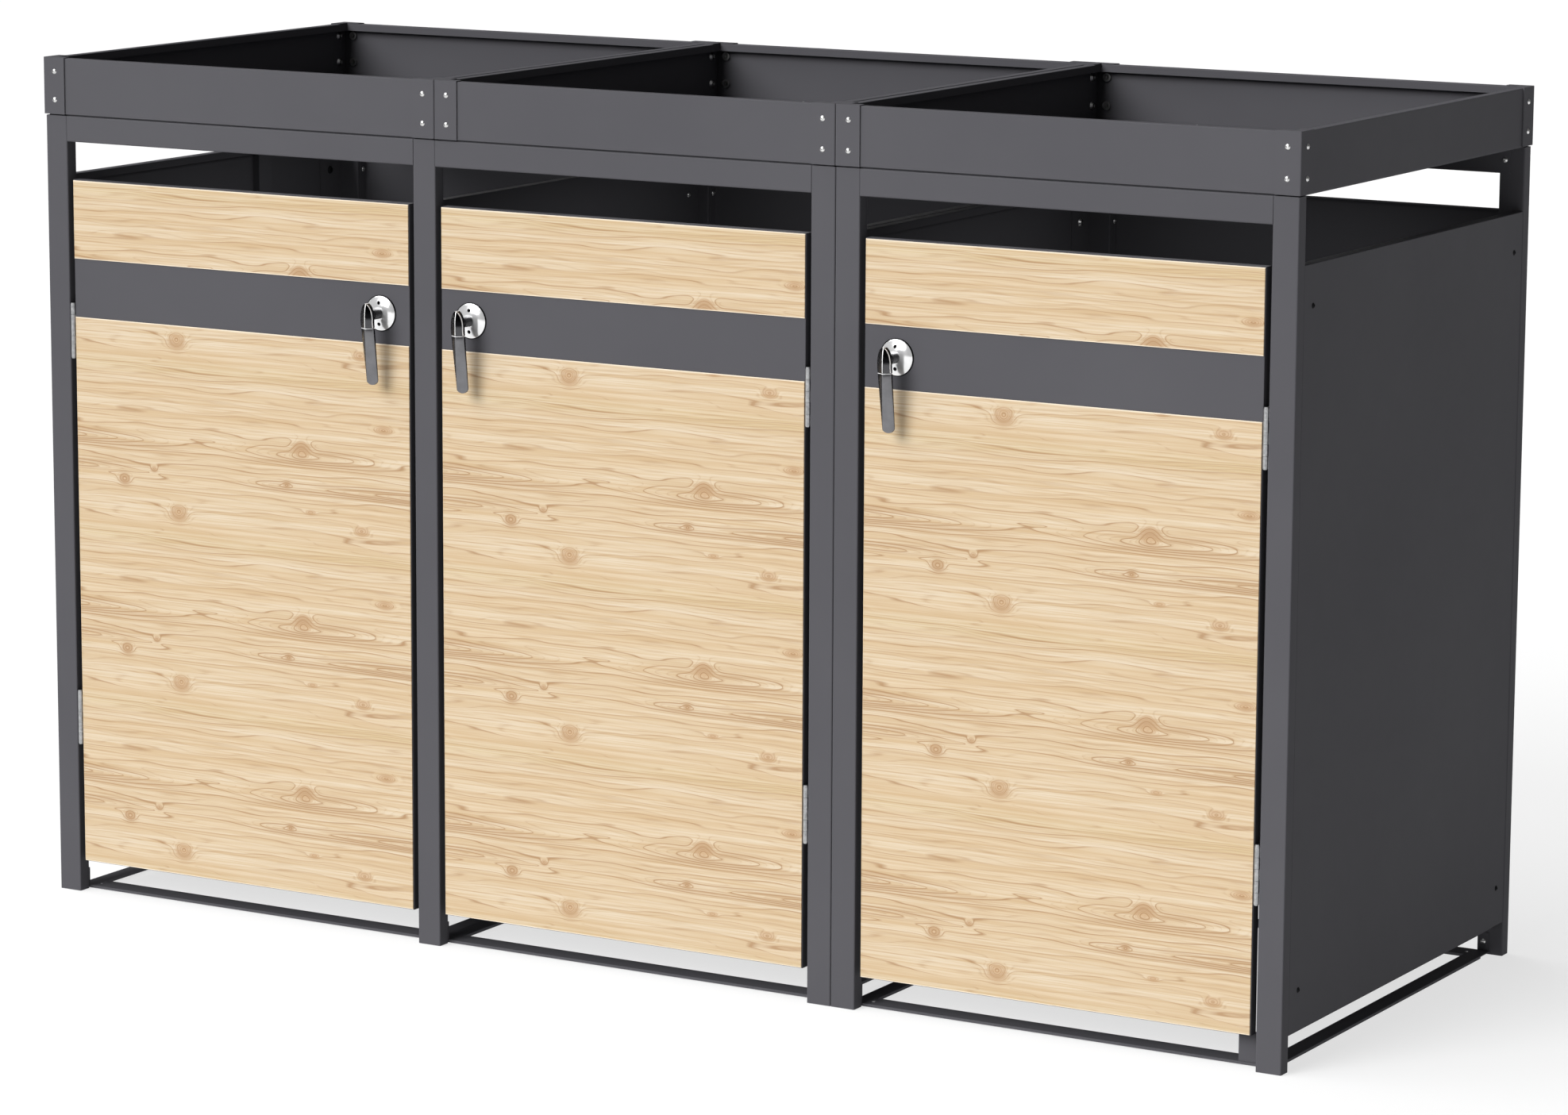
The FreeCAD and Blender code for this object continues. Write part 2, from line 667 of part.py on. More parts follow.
def hinge_leaf(axis_x, z0, away, own):
    """One leaf: a plate in the gap and its share of the knuckles; away points to what it is fixed on."""
    y = hinge_y
    x_back = axis_x + away * door_gap / 2
    x_face = x_back - away * leaf_t
    clear = barrel_r + leaf_notch
    leaf = slab((x_face, x_back), (y + clear, y + leaf_w), (z0, z0 + hinge_h))
    for low, high in knuckle_spans(own):
        wrap = slab((x_face, x_back), (y, y + clear), (z0 + low, z0 + high))
        knuckle = rod(V(axis_x, y, z0 + low), V(0, 0, 1), barrel_r, high - low)
        leaf = leaf.fuse([wrap, knuckle])
    bore = rod(V(axis_x, y, z0 - 1), V(0, 0, 1), pin_r + pin_fit, hinge_h + 2)
    return leaf.cut(bore).removeSplitter()


def make_hinges(bay):
    _, _, axis_x, hinged, _ = door_places(bay)
    for middle in hinge_z:
        z0 = middle - hinge_h / 2
        add("hinge_post_leaves", hinge_leaf(axis_x, z0, hinged, 0))
        add(f"door_{bay + 1}_hinge_leaves", hinge_leaf(axis_x, z0, -hinged, 1))
        pin = rod(V(axis_x, hinge_y, z0), V(0, 0, 1), pin_r, hinge_h)
        top = rod(V(axis_x, hinge_y, z0 + hinge_h), V(0, 0, 1), pin_head_r, pin_head_h)
        foot = rod(V(axis_x, hinge_y, z0 - pin_head_h), V(0, 0, 1), pin_head_r, pin_head_h)
        add("hinge_pins", pin.fuse([top, foot]).removeSplitter())


def make_rosette(bay):
    """A round rosette with a threaded neck through the door, and the nut that holds it."""
    _, _, _, _, x = door_places(bay)
    out = V(0, -1, 0)
    base = V(x, pan_y, handle_z)
    disc = rod(base, out, rosette_r, rosette_t)
    rim = [e for e in disc.Edges if abs(e.BoundBox.YMin - (pan_y - rosette_t)) < 0.01 and e.Length > 1
           and e.BoundBox.YLength < 0.01]
    disc = disc.makeFillet(rosette_t * 0.5, rim)
    boss = Part.makeCone(rosette_boss_r, rosette_boss_r * 0.8, rosette_boss_t, base + out * rosette_t, out)
    neck = rod(base, V(0, 1, 0), neck_r, pan_t + neck_back)
    bore = rod(base + V(0, 40, 0), out, spindle_r + spindle_fit, 80)
    eye = rod(base + V(0, 1, rosette_hole_up), out, rosette_hole_r, rosette_t + 2)
    nut = hex_nut(base + V(0, pan_t, 0), V(0, 1, 0), lock_nut_r, lock_nut_t, neck_r + nut_fit)
    add(f"door_{bay + 1}_rosette", disc.fuse([boss, neck]).cut([bore, eye]).removeSplitter(), nut)


def lever_side(x):
    """The lever's outline seen from the side, from the hub's top down to the thin end."""
    def at(out_by, up):
        return V(x, front + lever_y - out_by, handle_z + up)

    return [
        (at(0, lever_top - 3), 3),
        (at(0, -hub_foot), 6),
        (at(-lever_sweep, -lever_drop), 1.2),
        (at(lever_thin - lever_sweep, -lever_drop), 1.2),
        (at(lever_deep, -hub_foot), 30),
        (at(lever_deep, lever_top - 10), 6),
        (at(lever_deep - lever_wedge, lever_top), 3),
    ]


def lever_section(x, down, inset=0.0):
    """The grip's five-sided section, so far below the axis; two facets meet in a ridge on its front."""
    half = lever_w / 2
    share = max(0.0, (down - hub_foot) / (lever_drop - hub_foot))
    rear = -lever_sweep * share
    face = lever_deep + (lever_thin - lever_sweep - lever_deep) * share
    edge = face - facet_fall * (face - rear) / lever_deep
    ridge = ridge_top + (ridge_end - ridge_top) * share
    y = front + lever_y

    def at(side, out_by):
        return V(x + side + grip_shift * share, y - out_by, handle_z - down)

    return Part.makePolygon([
        at(-half + inset, rear + inset),
        at(half - inset, rear + inset),
        at(half - inset, edge - inset),
        at(ridge, face - inset),
        at(-half + inset, edge - inset),
        at(-half + inset, rear + inset),
    ])


def lever_grip(x):
    """The faceted grip, with a fine groove where the hub ends."""
    sections = [lever_section(x, down) for down in (-lever_top, hub_foot, lever_drop)]
    grip = Part.makeLoft(sections, True, True)
    half = lever_w / 2
    low, high = hub_foot + seam_drop, hub_foot + seam_drop + seam_w
    y = front + lever_y
    ring = slab((x - half - 1, x + half + 1), (y + lever_sweep, y - lever_deep), (handle_z - high, handle_z - low))
    core = Part.makeLoft([lever_section(x, d, seam_d) for d in (low - 1, high + 1)], True, True)
    return grip.cut(ring.cut(core))


def make_lever(bay):
    """Hub and hanging grip in one casting with the spindle; the cam sits on the spindle's end."""
    _, _, _, _, x = door_places(bay)
    half = lever_w / 2
    side = rounded_face(lever_side(x - half)).extrude(V(lever_w + grip_shift, 0, 0))
    deep = 60.0
    y = pan_y - 10
    narrow = half * 0.4
    end_half = half * 0.9
    end_x = x + grip_shift
    outline = [
        (V(x - narrow, y, handle_z + lever_top + 1), 3),
        (V(x - half * 0.86, y, handle_z + lever_top - arch_side), 10),
        (V(x - half, y, handle_z + lever_top - arch_foot), 14),
        (V(end_x - end_half, y, handle_z - lever_drop), 8.5),
        (V(end_x + end_half, y, handle_z - lever_drop), 8.5),
        (V(x + half, y, handle_z + lever_top - arch_foot), 14),
        (V(x + half * 0.86, y, handle_z + lever_top - arch_side), 10),
        (V(x + narrow, y, handle_z + lever_top + 1), 3),
    ]
    front_view = rounded_face(outline).extrude(V(0, -deep, 0))
    grip = lever_grip(x).common(side).common(front_view)
    out = V(0, -1, 0)
    stem_foot = V(x, pan_y - rosette_t - rosette_boss_t - hub_gap, handle_z)
    stem = rod(stem_foot, out, stem_r, stem_l + 2)
    spindle_end = cam_y + cam_t + cam_nut_t + shank_out
    spindle = rod(stem_foot, V(0, 1, 0), spindle_r, spindle_end - stem_foot.y)
    add(f"lever_{bay + 1}_grip", grip.fuse([stem, spindle]).removeSplitter())
    make_cam(bay, x)


def make_cam(bay, x):
    """The cam stands in line with the hanging lever; a quarter turn puts it behind the post."""
    y = cam_y
    z = handle_z
    bar = slab((x - cam_w / 2, x + cam_w / 2), (y, y + cam_t), (z, z + cam_l))
    eye = rod(V(x, y, z), V(0, 1, 0), cam_w / 2, cam_t)
    bore = rod(V(x, y - 1, z), V(0, 1, 0), spindle_r + cam_eye_fit, cam_t + 2)
    nut = hex_nut(V(x, y + cam_t, z), V(0, 1, 0), cam_nut_r, cam_nut_t, spindle_r + nut_fit)
    bar = bar.fuse(eye).removeSplitter()
    tips = [e for e in bar.Edges if e.BoundBox.ZMin > z + cam_l - 0.01 and e.BoundBox.XLength < 0.01]
    bar = bar.makeFillet(cam_w / 4, tips)
    add(f"lever_{bay + 1}_cam", bar.cut(bore), nut)


def write_nodes():
    os.makedirs("parts", exist_ok=True)
    for name, solids in nodes.items():
        tools = holes.get(name, [])
        done = [s.cut(near(s, tools)) if near(s, tools) else s for s in solids]
        shape = done[0] if len(done) == 1 else Part.makeCompound(done)
        shape.exportStep(f"parts/{name}.step")
    print(len(nodes), "nodes,", sum(len(s) for s in nodes.values()), "solids")
    print("overall", round(overall_w + 2 * corner_t, 1), "x", round(store_d + 2 * corner_t, 1),
          "x", round(tray_z1, 1))


def near(solid, tools):
    """The drills whose box meets the solid's box."""
    return [t for t in tools if solid.BoundBox.intersect(t.BoundBox)]


def main():
    for post in post_x:
        make_post(post, True)
        make_post(post, False)
    for bay in range(3):
        make_beam(bay, True)
        make_beam(bay, False)
        make_rear_panel(bay)
        make_base_rails(bay)
        make_tray(bay)
        make_door(bay)
        make_hinges(bay)
        make_rosette(bay)
        make_lever(bay)
    for post, name in (("left", "left_wall"), ("middle", "middle_partition"),
                       ("double_end", "double_end_wall"), ("single_end", "single_end_wall"),
                       ("right", "right_wall")):
        make_wall(post, name)
    make_rib()
    bolt_walls()
    make_side_rails()
    drill_anchors()
    make_foot_plate()
    bolt_trays()
    write_nodes()


main()
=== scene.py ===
import json
import math

import bmesh
import bpy
from mathutils import Matrix, Vector


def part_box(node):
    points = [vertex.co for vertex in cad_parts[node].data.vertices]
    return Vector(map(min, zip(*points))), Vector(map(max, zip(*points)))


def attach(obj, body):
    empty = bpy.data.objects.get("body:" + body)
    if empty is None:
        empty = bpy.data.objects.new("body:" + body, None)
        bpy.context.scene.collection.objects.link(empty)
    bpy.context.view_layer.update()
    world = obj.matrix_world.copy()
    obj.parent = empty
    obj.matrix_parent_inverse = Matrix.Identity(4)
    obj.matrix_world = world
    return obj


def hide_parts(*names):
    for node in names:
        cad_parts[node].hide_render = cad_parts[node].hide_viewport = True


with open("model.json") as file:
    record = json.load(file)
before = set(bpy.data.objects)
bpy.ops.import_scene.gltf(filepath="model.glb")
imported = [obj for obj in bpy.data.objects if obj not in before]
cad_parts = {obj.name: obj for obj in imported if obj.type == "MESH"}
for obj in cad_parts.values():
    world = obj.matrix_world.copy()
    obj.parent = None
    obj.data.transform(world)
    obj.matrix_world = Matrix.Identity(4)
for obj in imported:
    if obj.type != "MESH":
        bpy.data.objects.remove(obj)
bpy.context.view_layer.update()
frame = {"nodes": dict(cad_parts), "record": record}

# %% [markdown]
# # A store for three wheelie bins
#
# The store is a folded-steel frame with three doors, two outer walls, a partition and three
# planter trays on top. The steel itself was drawn in a CAD program and is loaded above as a
# fixed frame. Here it gets its finishes, its fasteners and locks get finer shapes, and it is
# lit and photographed. Everything is in metres, with Z up and the doors facing -Y.
#
# Each piece made here hides the CAD node it stands in for and hangs from the body it moves with;
# the floor and the backdrop hang from no body.


# %% [markdown]
# ## A small kit for finishes
#
# A finish in Blender is a graph of nodes that ends in one Principled shader. Wiring each node
# by hand takes many lines, so a short class holds a material and adds nodes to it: `math` for
# sums, `noise` for irregular patterns, `ramp` for turning a number into a colour and `bump`
# for relief. Patterns read Object coordinates, which for these pieces are real metres, so
# a grain of 4 mm is 4 mm on every piece.

# %% The finish maker
class Finish:
    """A material with a Principled shader, and short calls that add nodes to it."""

    def __init__(self, name, **values):
        self.material = bpy.data.materials.new(name)
        self.material.use_nodes = True
        self.tree = self.material.node_tree
        self.shader = self.tree.nodes["Principled BSDF"]
        for label, value in values.items():
            self.shader.inputs[label.replace("_", " ")].default_value = value
        coordinates = self.tree.nodes.new("ShaderNodeTexCoord")
        self.place = coordinates.outputs["Object"]

    def link(self, source, socket):
        """Feeds a socket with another node's output, or sets it to a plain value."""
        if isinstance(source, bpy.types.NodeSocket):
            self.tree.links.new(source, socket)
        else:
            socket.default_value = source

    def math(self, kind, first, second=0.0, third=0.0):
        node = self.tree.nodes.new("ShaderNodeMath")
        node.operation = kind
        for socket, value in zip(node.inputs, (first, second, third)):
            self.link(value, socket)
        return node.outputs[0]

    def axes(self):
        """The three object coordinates, each as a number."""
        node = self.tree.nodes.new("ShaderNodeSeparateXYZ")
        self.link(self.place, node.inputs[0])
        return node.outputs[0], node.outputs[1], node.outputs[2]

    def vector(self, x, y, z):
        node = self.tree.nodes.new("ShaderNodeCombineXYZ")
        for socket, value in zip(node.inputs, (x, y, z)):
            self.link(value, socket)
        return node.outputs[0]

    def noise(self, scale, detail, rough=0.5, where=None):
        node = self.tree.nodes.new("ShaderNodeTexNoise")
        self.link(where or self.place, node.inputs["Vector"])
        node.inputs["Scale"].default_value = scale
        node.inputs["Detail"].default_value = detail
        node.inputs["Roughness"].default_value = rough
        return node.outputs["Fac"]

    def ramp(self, source, *stops):
        """A colour ramp; each stop is a place from 0 to 1 and a colour or a grey."""
        node = self.tree.nodes.new("ShaderNodeValToRGB")
        self.link(source, node.inputs[0])
        elements = node.color_ramp.elements
        while len(elements) < len(stops):
            elements.new(0.5)
        for element, (where, colour) in zip(elements, stops):
            grey = isinstance(colour, (int, float))
            element.position = where
            element.color = (colour, colour, colour, 1) if grey else (*colour, 1)
        return node.outputs["Color"]

    def mix(self, share, low, high):
        """A colour between two, each a plain one or another node's."""
        node = self.tree.nodes.new("ShaderNodeMix")
        node.data_type = "RGBA"
        self.link(share, node.inputs[0])
        for value, socket in ((low, node.inputs[6]), (high, node.inputs[7])):
            self.link((*value, 1) if isinstance(value, tuple) else value, socket)
        return node.outputs[2]

    def bump(self, height, depth, strength):
        node = self.tree.nodes.new("ShaderNodeBump")
        self.link(height, node.inputs["Height"])
        node.inputs["Distance"].default_value = depth
        node.inputs["Strength"].default_value = strength
        self.link(node.outputs[0], self.shader.inputs["Normal"])

    def feed(self, label, source):
        self.link(source, self.shader.inputs[label])


# %% Two more helpers
def coat(name, material):
    """Gives a CAD node's object one material in all its slots."""
    mesh = frame["nodes"][name].data
    mesh.materials.clear()
    mesh.materials.append(material)


def placed(name, data):
    """Makes an object of a mesh, a light or a camera, and puts it in the scene."""
    made = bpy.data.objects.new(name, data)
    bpy.context.scene.collection.objects.link(made)
    return made


# %% [markdown]
# ## Anthracite powder coat
#
# The frame, walls and trays are steel sheet under a grey powder coat. Powder coat melts into
# a film that is smooth from afar and has a very fine orange-peel relief close up. It is not
# metallic, so the steel below doesn't matter: a mid roughness, a slight cloudiness in colour
# and a relief of a few hundredths of a millimetre give it. The same recipe, darker, serves
# the black-oxide screws.

# %% Powder coat
COAT_GREY = (0.068, 0.067, 0.074)
COAT_LIGHT = (0.074, 0.073, 0.080)
PEEL_SIZE = 0.0016
PEEL_DEPTH = 0.00004


def powder_coat(name, dark, light, roughness):
    """Broad clouds of colour, a slightly uneven sheen, and the orange-peel relief."""
    finish = Finish(name, Specular_IOR_Level=0.015)
    clouds = finish.noise(2.2, 4.0, 0.6)
    finish.feed("Base Color", finish.ramp(clouds, (0.35, dark), (0.68, light)))
    fine = finish.noise(1 / PEEL_SIZE, 2.0, 0.55)
    spread = finish.noise(38.0, 3.0, 0.6)
    sheen = finish.math("MULTIPLY_ADD", spread, 0.12, roughness - 0.06)
    finish.feed("Roughness", sheen)
    finish.bump(fine, PEEL_DEPTH, 0.6)
    return finish.material


steel_coat = powder_coat("Anthracite powder coat", COAT_GREY, COAT_LIGHT, 0.46)
black_coat = powder_coat("Black oxide", (0.012, 0.012, 0.013), (0.020, 0.020, 0.022), 0.38)
print("powder coat relief:", PEEL_DEPTH * 1e6, "micrometres")


# %% [markdown]
# ## Wood-look plates
#
# The plates on the doors are sheet steel with a printed pine pattern under a clear film. The
# print is one picture of boards that repeats up the door, with the grain lying across it. An
# image texture would be the usual way. Here the picture is made from sums instead, so that it
# stays sharp at any size.
#
# The thin brown lines are contour lines of one field, as on a map. The field rises slowly up
# the door, which alone would give straight level lines. Hills are added to it: a small steep
# hill is a knot with rings round it, and a long low hill pushes the lines aside until they
# close in the pointed loops of a sawn board. The field's slope is added up along with it, and
# dividing by it keeps every line equally thin.

# %% Where the print repeats, and the hills in its field, in metres
PRINT_RISE = 0.257      # height of one repeat
PRINT_FOOT = 0.112      # height on the door of one repeat's foot
LINES_PER_METRE = 52.0  # contour lines where the field is calm
KNOTS = (               # along, up, half length, half width, hill's height in lines
    (0.215, 0.2295, 0.0150, 0.0118, 2.4),
    (0.438, 0.0870, 0.0160, 0.0120, 2.6),
    (0.116, 0.0160, 0.0100, 0.0072, 2.6),
    (0.543, 0.2320, 0.0130, 0.0066, 1.5),
    (0.583, 0.1270, 0.0150, 0.0060, 1.6),
    (0.171, 0.0350, 0.0060, 0.0042, 1.2),
    (0.411, 0.0330, 0.0070, 0.0045, 1.3),
    (0.453, 0.2520, 0.0090, 0.0035, 0.9),
)
LOOPS = (               # the same, for the long hills that make pointed loops
    (-0.060, 0.0765, 0.2000, 0.0095, 4.6),
    (0.470, 0.0760, 0.1150, 0.0105, 3.4),
    (0.690, 0.0310, 0.2300, 0.0070, 3.9),
    (0.395, 0.0300, 0.0450, 0.0050, 1.2),
    (0.020, 0.0330, 0.1300, 0.0060, -1.6),
    (0.330, 0.1950, 0.3600, 0.0150, 0.9),
)
FIGURED = (             # share of the height in one repeat, and how much all lines show there
    (0.02, 0.25), (0.06, 0.85), (0.38, 0.85), (0.46, 0.0), (0.96, 0.0),
)
HONEY_UP = 0.189        # middle of the honey-coloured band in one repeat
HONEY_HALF = 0.016      # how far it reaches up and down before it has faded
HIGHLIGHT_FULL = 0.0010       # the plate's rim, a painted highlight, is palest up to here from its edge, and takes the print's colour from here on
HIGHLIGHT_GONE = 0.0016       # and takes the print's colour from here on
LEAST_SLOPE = 14.0      # lines per metre; where the field is flatter, lines get no wider
PINE_PALE = (0.526, 0.448, 0.338)
PINE_WARM = (0.494, 0.392, 0.268)
PINE_TAN = (0.405, 0.282, 0.152)
PINE_HONEY = (0.430, 0.332, 0.178)
PINE_LINE = (0.285, 0.166, 0.078)
PINE_KNOT = (0.385, 0.242, 0.128)
# the pale colour of the painted highlight along the plates' top and bottom rims
HIGHLIGHT_PALE = (0.70, 0.62, 0.50)
PRINT_SHIFT = {1: -0.030, 2: 0.0, 3: 0.0}  # where the picture starts, from each door's left edge


# %% The height field of the print
def above(finish, height, up):
    """How far the height is above a place in the repeat, measured to the nearest repeat of it."""
    half = PRINT_RISE / 2
    return finish.math("WRAP", finish.math("SUBTRACT", height, up), half, -half)


def hill(finish, along, height, shape):
    """One hill of the field, with its slopes up and along."""
    middle, up, length, width, lines = shape
    dx = finish.math("SUBTRACT", along, middle)
    far_x = finish.math("MULTIPLY", dx, 1 / length)
    far_z = finish.math("MULTIPLY", above(finish, height, up), 1 / width)
    far = finish.math("MULTIPLY_ADD", far_x, far_x, finish.math("MULTIPLY", far_z, far_z))
    near = finish.math("EXPONENT", finish.math("MULTIPLY", far, -1.0))
    rise = finish.math("MULTIPLY", near, lines)
    slope_up = finish.math("MULTIPLY", rise, finish.math("MULTIPLY", far_z, -2 / width))
    slope_along = finish.math("MULTIPLY", rise, finish.math("MULTIPLY", far_x, -2 / length))
    return near, rise, slope_up, slope_along


def grain_field(finish, along, height):
    """The whole field, how steep it is, and how near the nearest knot is."""
    field = finish.math("MULTIPLY", height, LINES_PER_METRE)
    up, sideways, knot = LINES_PER_METRE, 0.0, 0.0
    for shape in KNOTS + LOOPS:
        near, rise, slope_up, slope_along = hill(finish, along, height, shape)
        field = finish.math("ADD", field, rise)
        up = finish.math("ADD", up, slope_up)
        sideways = finish.math("ADD", sideways, slope_along)
        if shape in KNOTS:
            knot = finish.math("MAXIMUM", knot, near)
    steep = finish.math("MULTIPLY_ADD", up, up, finish.math("MULTIPLY", sideways, sideways))
    return field, finish.math("SQRT", steep), knot


def contour(finish, field, steep, share):
    """Soft lines about 2 mm wide where the field, times share, passes a half; and the phase."""
    phase = finish.math("FRACT", finish.math("MULTIPLY", field, share))
    off = finish.math("ABSOLUTE", finish.math("SUBTRACT", phase, 0.5))
    slope = finish.math("MULTIPLY", finish.math("MAXIMUM", steep, LEAST_SLOPE), share)
    millimetres = finish.math("MULTIPLY", finish.math("DIVIDE", off, slope), 1000.0)
    half_away = finish.math("MULTIPLY", millimetres, 0.5)
    return finish.ramp(half_away, (0.10, 1.0), (0.30, 0.55), (0.62, 0.0)), phase


# %% The print's colours and lines
def pine_print(name, left_edge, foot, top):
    """The printed film of one plate; the print's picture starts at left_edge."""
    finish = Finish(name, Specular_IOR_Level=0.25, Coat_Weight=0.08, Coat_Roughness=0.3)
    x, _, z = finish.axes()
    along = finish.math("SUBTRACT", x, left_edge)
    height = finish.math("FLOORED_MODULO", finish.math("SUBTRACT", z, PRINT_FOOT), PRINT_RISE)
    turn = finish.math("MULTIPLY", height, 2 * math.pi / PRINT_RISE)
    ring_x, ring_y = finish.math("COSINE", turn), finish.math("SINE", turn)

    def on_ring(stretch, radius):
        """The height wrapped round a circle, so that a noise read there repeats without a seam."""
        return finish.vector(
            finish.math("MULTIPLY", along, stretch),
            finish.math("MULTIPLY", ring_x, radius),
            finish.math("MULTIPLY", ring_y, radius),
        )

    broad = finish.noise(1.0, 3.0, 0.55, on_ring(2.2, 2.6))
    streak = finish.noise(1.0, 5.0, 0.62, on_ring(4.2, 14.0))
    fibre = finish.noise(1.0, 4.0, 0.65, on_ring(12.0, 44.0))
    sway = finish.noise(1.0, 1.5, 0.5, on_ring(5.0, 1.9))
    patch = finish.noise(1.0, 2.0, 0.5, on_ring(5.0, 5.0))

    colour = finish.mix(finish.ramp(broad, (0.36, 0.0), (0.66, 1.0)), PINE_PALE, PINE_WARM)
    colour = finish.mix(finish.ramp(streak, (0.42, 0.0), (0.66, 0.80)), colour, PINE_TAN)
    band = finish.math("MULTIPLY", above(finish, height, HONEY_UP), 1 / HONEY_HALF)
    band = finish.ramp(finish.math("ABSOLUTE", band), (0.0, 0.7), (1.0, 0.0))
    streaky = finish.ramp(streak, (0.30, 0.2), (0.60, 1.0))
    colour = finish.mix(finish.math("MULTIPLY", band, streaky), colour, PINE_HONEY)
    colour = finish.mix(finish.ramp(fibre, (0.40, 0.0), (0.75, 0.50)), colour, PINE_TAN)

    field, steep, knot = grain_field(finish, along, height)
    field = finish.math("MULTIPLY_ADD", sway, 2.2, field)
    line, phase = contour(finish, field, steep, 1.0)
    hair, _ = contour(finish, field, steep, 3.0)
    shown = finish.ramp(patch, (0.42, 0.08), (0.60, 0.80))
    figured = finish.ramp(finish.math("MULTIPLY", height, 1 / PRINT_RISE), *FIGURED)
    shown = finish.math("MAXIMUM", shown, figured)
    beside = finish.math("FRACT", finish.math("ADD", phase, 0.5))
    glow = finish.ramp(beside, (0.50, 0.0), (0.97, 0.42), (1.0, 0.0))
    colour = finish.mix(glow, colour, PINE_TAN)
    dark_knot = finish.ramp(knot, (0.22, 0.0), (0.48, 0.48), (1.0, 0.60))
    colour = finish.mix(dark_knot, colour, PINE_KNOT)
    fine = finish.ramp(streak, (0.36, 0.06), (0.62, 0.42))
    fine = finish.math("MAXIMUM", fine, finish.math("MULTIPLY", knot, 0.8))
    colour = finish.mix(finish.math("MULTIPLY", hair, fine), colour, PINE_LINE)
    colour = finish.mix(finish.math("MULTIPLY", line, shown), colour, PINE_LINE)

    # A painted highlight along the plate's top and bottom rims, where their edges would catch the
    # light.
    low = finish.math("SUBTRACT", z, foot)
    high = finish.math("SUBTRACT", top, z)
    centimetres = finish.math("MULTIPLY", finish.math("MINIMUM", low, high), 100.0)
    rim = finish.ramp(centimetres, (HIGHLIGHT_FULL * 100, 0.75), (HIGHLIGHT_GONE * 100, 0.0))
    colour = finish.mix(rim, colour, HIGHLIGHT_PALE)
    finish.feed("Base Color", colour)
    finish.feed("Roughness", finish.math("MULTIPLY_ADD", fibre, 0.10, 0.42))
    finish.bump(finish.math("MULTIPLY_ADD", line, -0.6, fibre), 0.00005, 0.35)
    return finish.material


for number in (1, 2, 3):
    for plate in ("upper", "lower"):
        low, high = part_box(f"door_{number}_{plate}_plate")
        start = low[0] + PRINT_SHIFT[number]
        film = pine_print(f"Pine print {number} {plate}", start, low[2], high[2])
        coat(f"door_{number}_{plate}_plate", film)
print("print repeats on a lower plate:", round((high[2] - low[2]) / PRINT_RISE, 1), "times")


# %% [markdown]
# ## Bare and plated metals
#
# Bolts and cams are bright zinc, with fine scratches that vary the roughness, and the hinges a
# duller zinc. The roses behind the handles are chrome and the grips a darker, satin chrome. Such
# metals are nearly all reflection: they show the studio and have little colour of their own. The
# hubs' fronts instead get a painted reflection, black above and grey below, and the grips a much
# darker copy of their chrome as painted shade. The roses and the painted highlights on the
# handles' edges are made less than fully metallic, so that they stay bright where they would
# mirror a dark part of the studio.

# %% Zinc, chrome and dark chrome
def plated(name, dark, light, low, high, scale, metallic=1.0):
    """A metal between two greys, its roughness between low and high, in marks of that scale."""
    finish = Finish(name, Metallic=metallic)
    clouds = finish.noise(scale, 4.0, 0.6)
    finish.feed("Base Color", finish.ramp(clouds, (0.3, dark), (0.7, light)))
    marks = finish.noise(scale * 9, 3.0, 0.6)
    finish.feed("Roughness", finish.math("MULTIPLY_ADD", marks, high - low, low))
    finish.bump(marks, 0.00002, 0.25)
    return finish.material


zinc = plated("Bright zinc", (0.60, 0.60, 0.60), (0.78, 0.78, 0.77), 0.22, 0.42, 60.0)
hinge_zinc = plated(
    "Zinc of the hinges", (0.30, 0.305, 0.31), (0.52, 0.525, 0.53), 0.24, 0.40, 220.0)
satin_chrome = plated(
    "Satin chrome grip", (0.165, 0.165, 0.174), (0.215, 0.215, 0.226), 0.26, 0.36, 40.0)
# A much darker copy of the grip's satin chrome: painted shade on the grips' backs, sides and left
# facets, in the seam's groove and on the stems.
satin_shaded = plated(
    "Satin chrome in painted shade", (0.030, 0.030, 0.033), (0.050, 0.050, 0.054), 0.22, 0.32, 40.0)
# Black gloss for the roses' screws; on the roses' rims it is a painted contact shadow and dark
# reflection, and in their recesses painted shade.
black_gloss_and_painted_shade = plated(
    "Black gloss and painted shade", (0.008, 0.008, 0.009), (0.014, 0.014, 0.015), 0.12, 0.20, 30.0)
rose_chrome = plated(
    "Chrome of the roses", (0.86, 0.86, 0.87), (0.93, 0.93, 0.93), 0.10, 0.22, 60.0, metallic=0.70)
# Pale metal painted on the handles' chamfers: a painted highlight along their edges.
edge_highlight_paint = plated(
    "Painted edge highlight", (0.80, 0.80, 0.81), (0.92, 0.92, 0.92), 0.30, 0.40, 40.0, metallic=0.35)


def fading(name, above, below, top, foot):
    """A metal that turns from one grey above a height into another below it; on the hub, a painted
    reflection.
    """
    finish = Finish(name, Metallic=1.0, Roughness=0.22)
    _, _, z = finish.axes()
    depth = finish.math("MULTIPLY", finish.math("SUBTRACT", top, z), 1 / (top - foot))
    finish.feed("Base Color", finish.ramp(depth, (0.0, above), (1.0, below)))
    return finish.material


rose_low, rose_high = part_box("door_1_rosette")
lock_axis = (rose_low[2] + rose_high[2]) / 2
FADE_TOP, FADE_FOOT = 0.002, 0.006  # depths below the handle's axis where the painted reflection turns from black to grey
# The hub's front: a painted reflection, black above the handle's axis and grey below.
hub_reflection_paint = fading(
    "Hub with painted reflection", (0.008, 0.008, 0.009), (0.090, 0.090, 0.095),
    top=lock_axis - FADE_TOP, foot=lock_axis - FADE_FOOT)

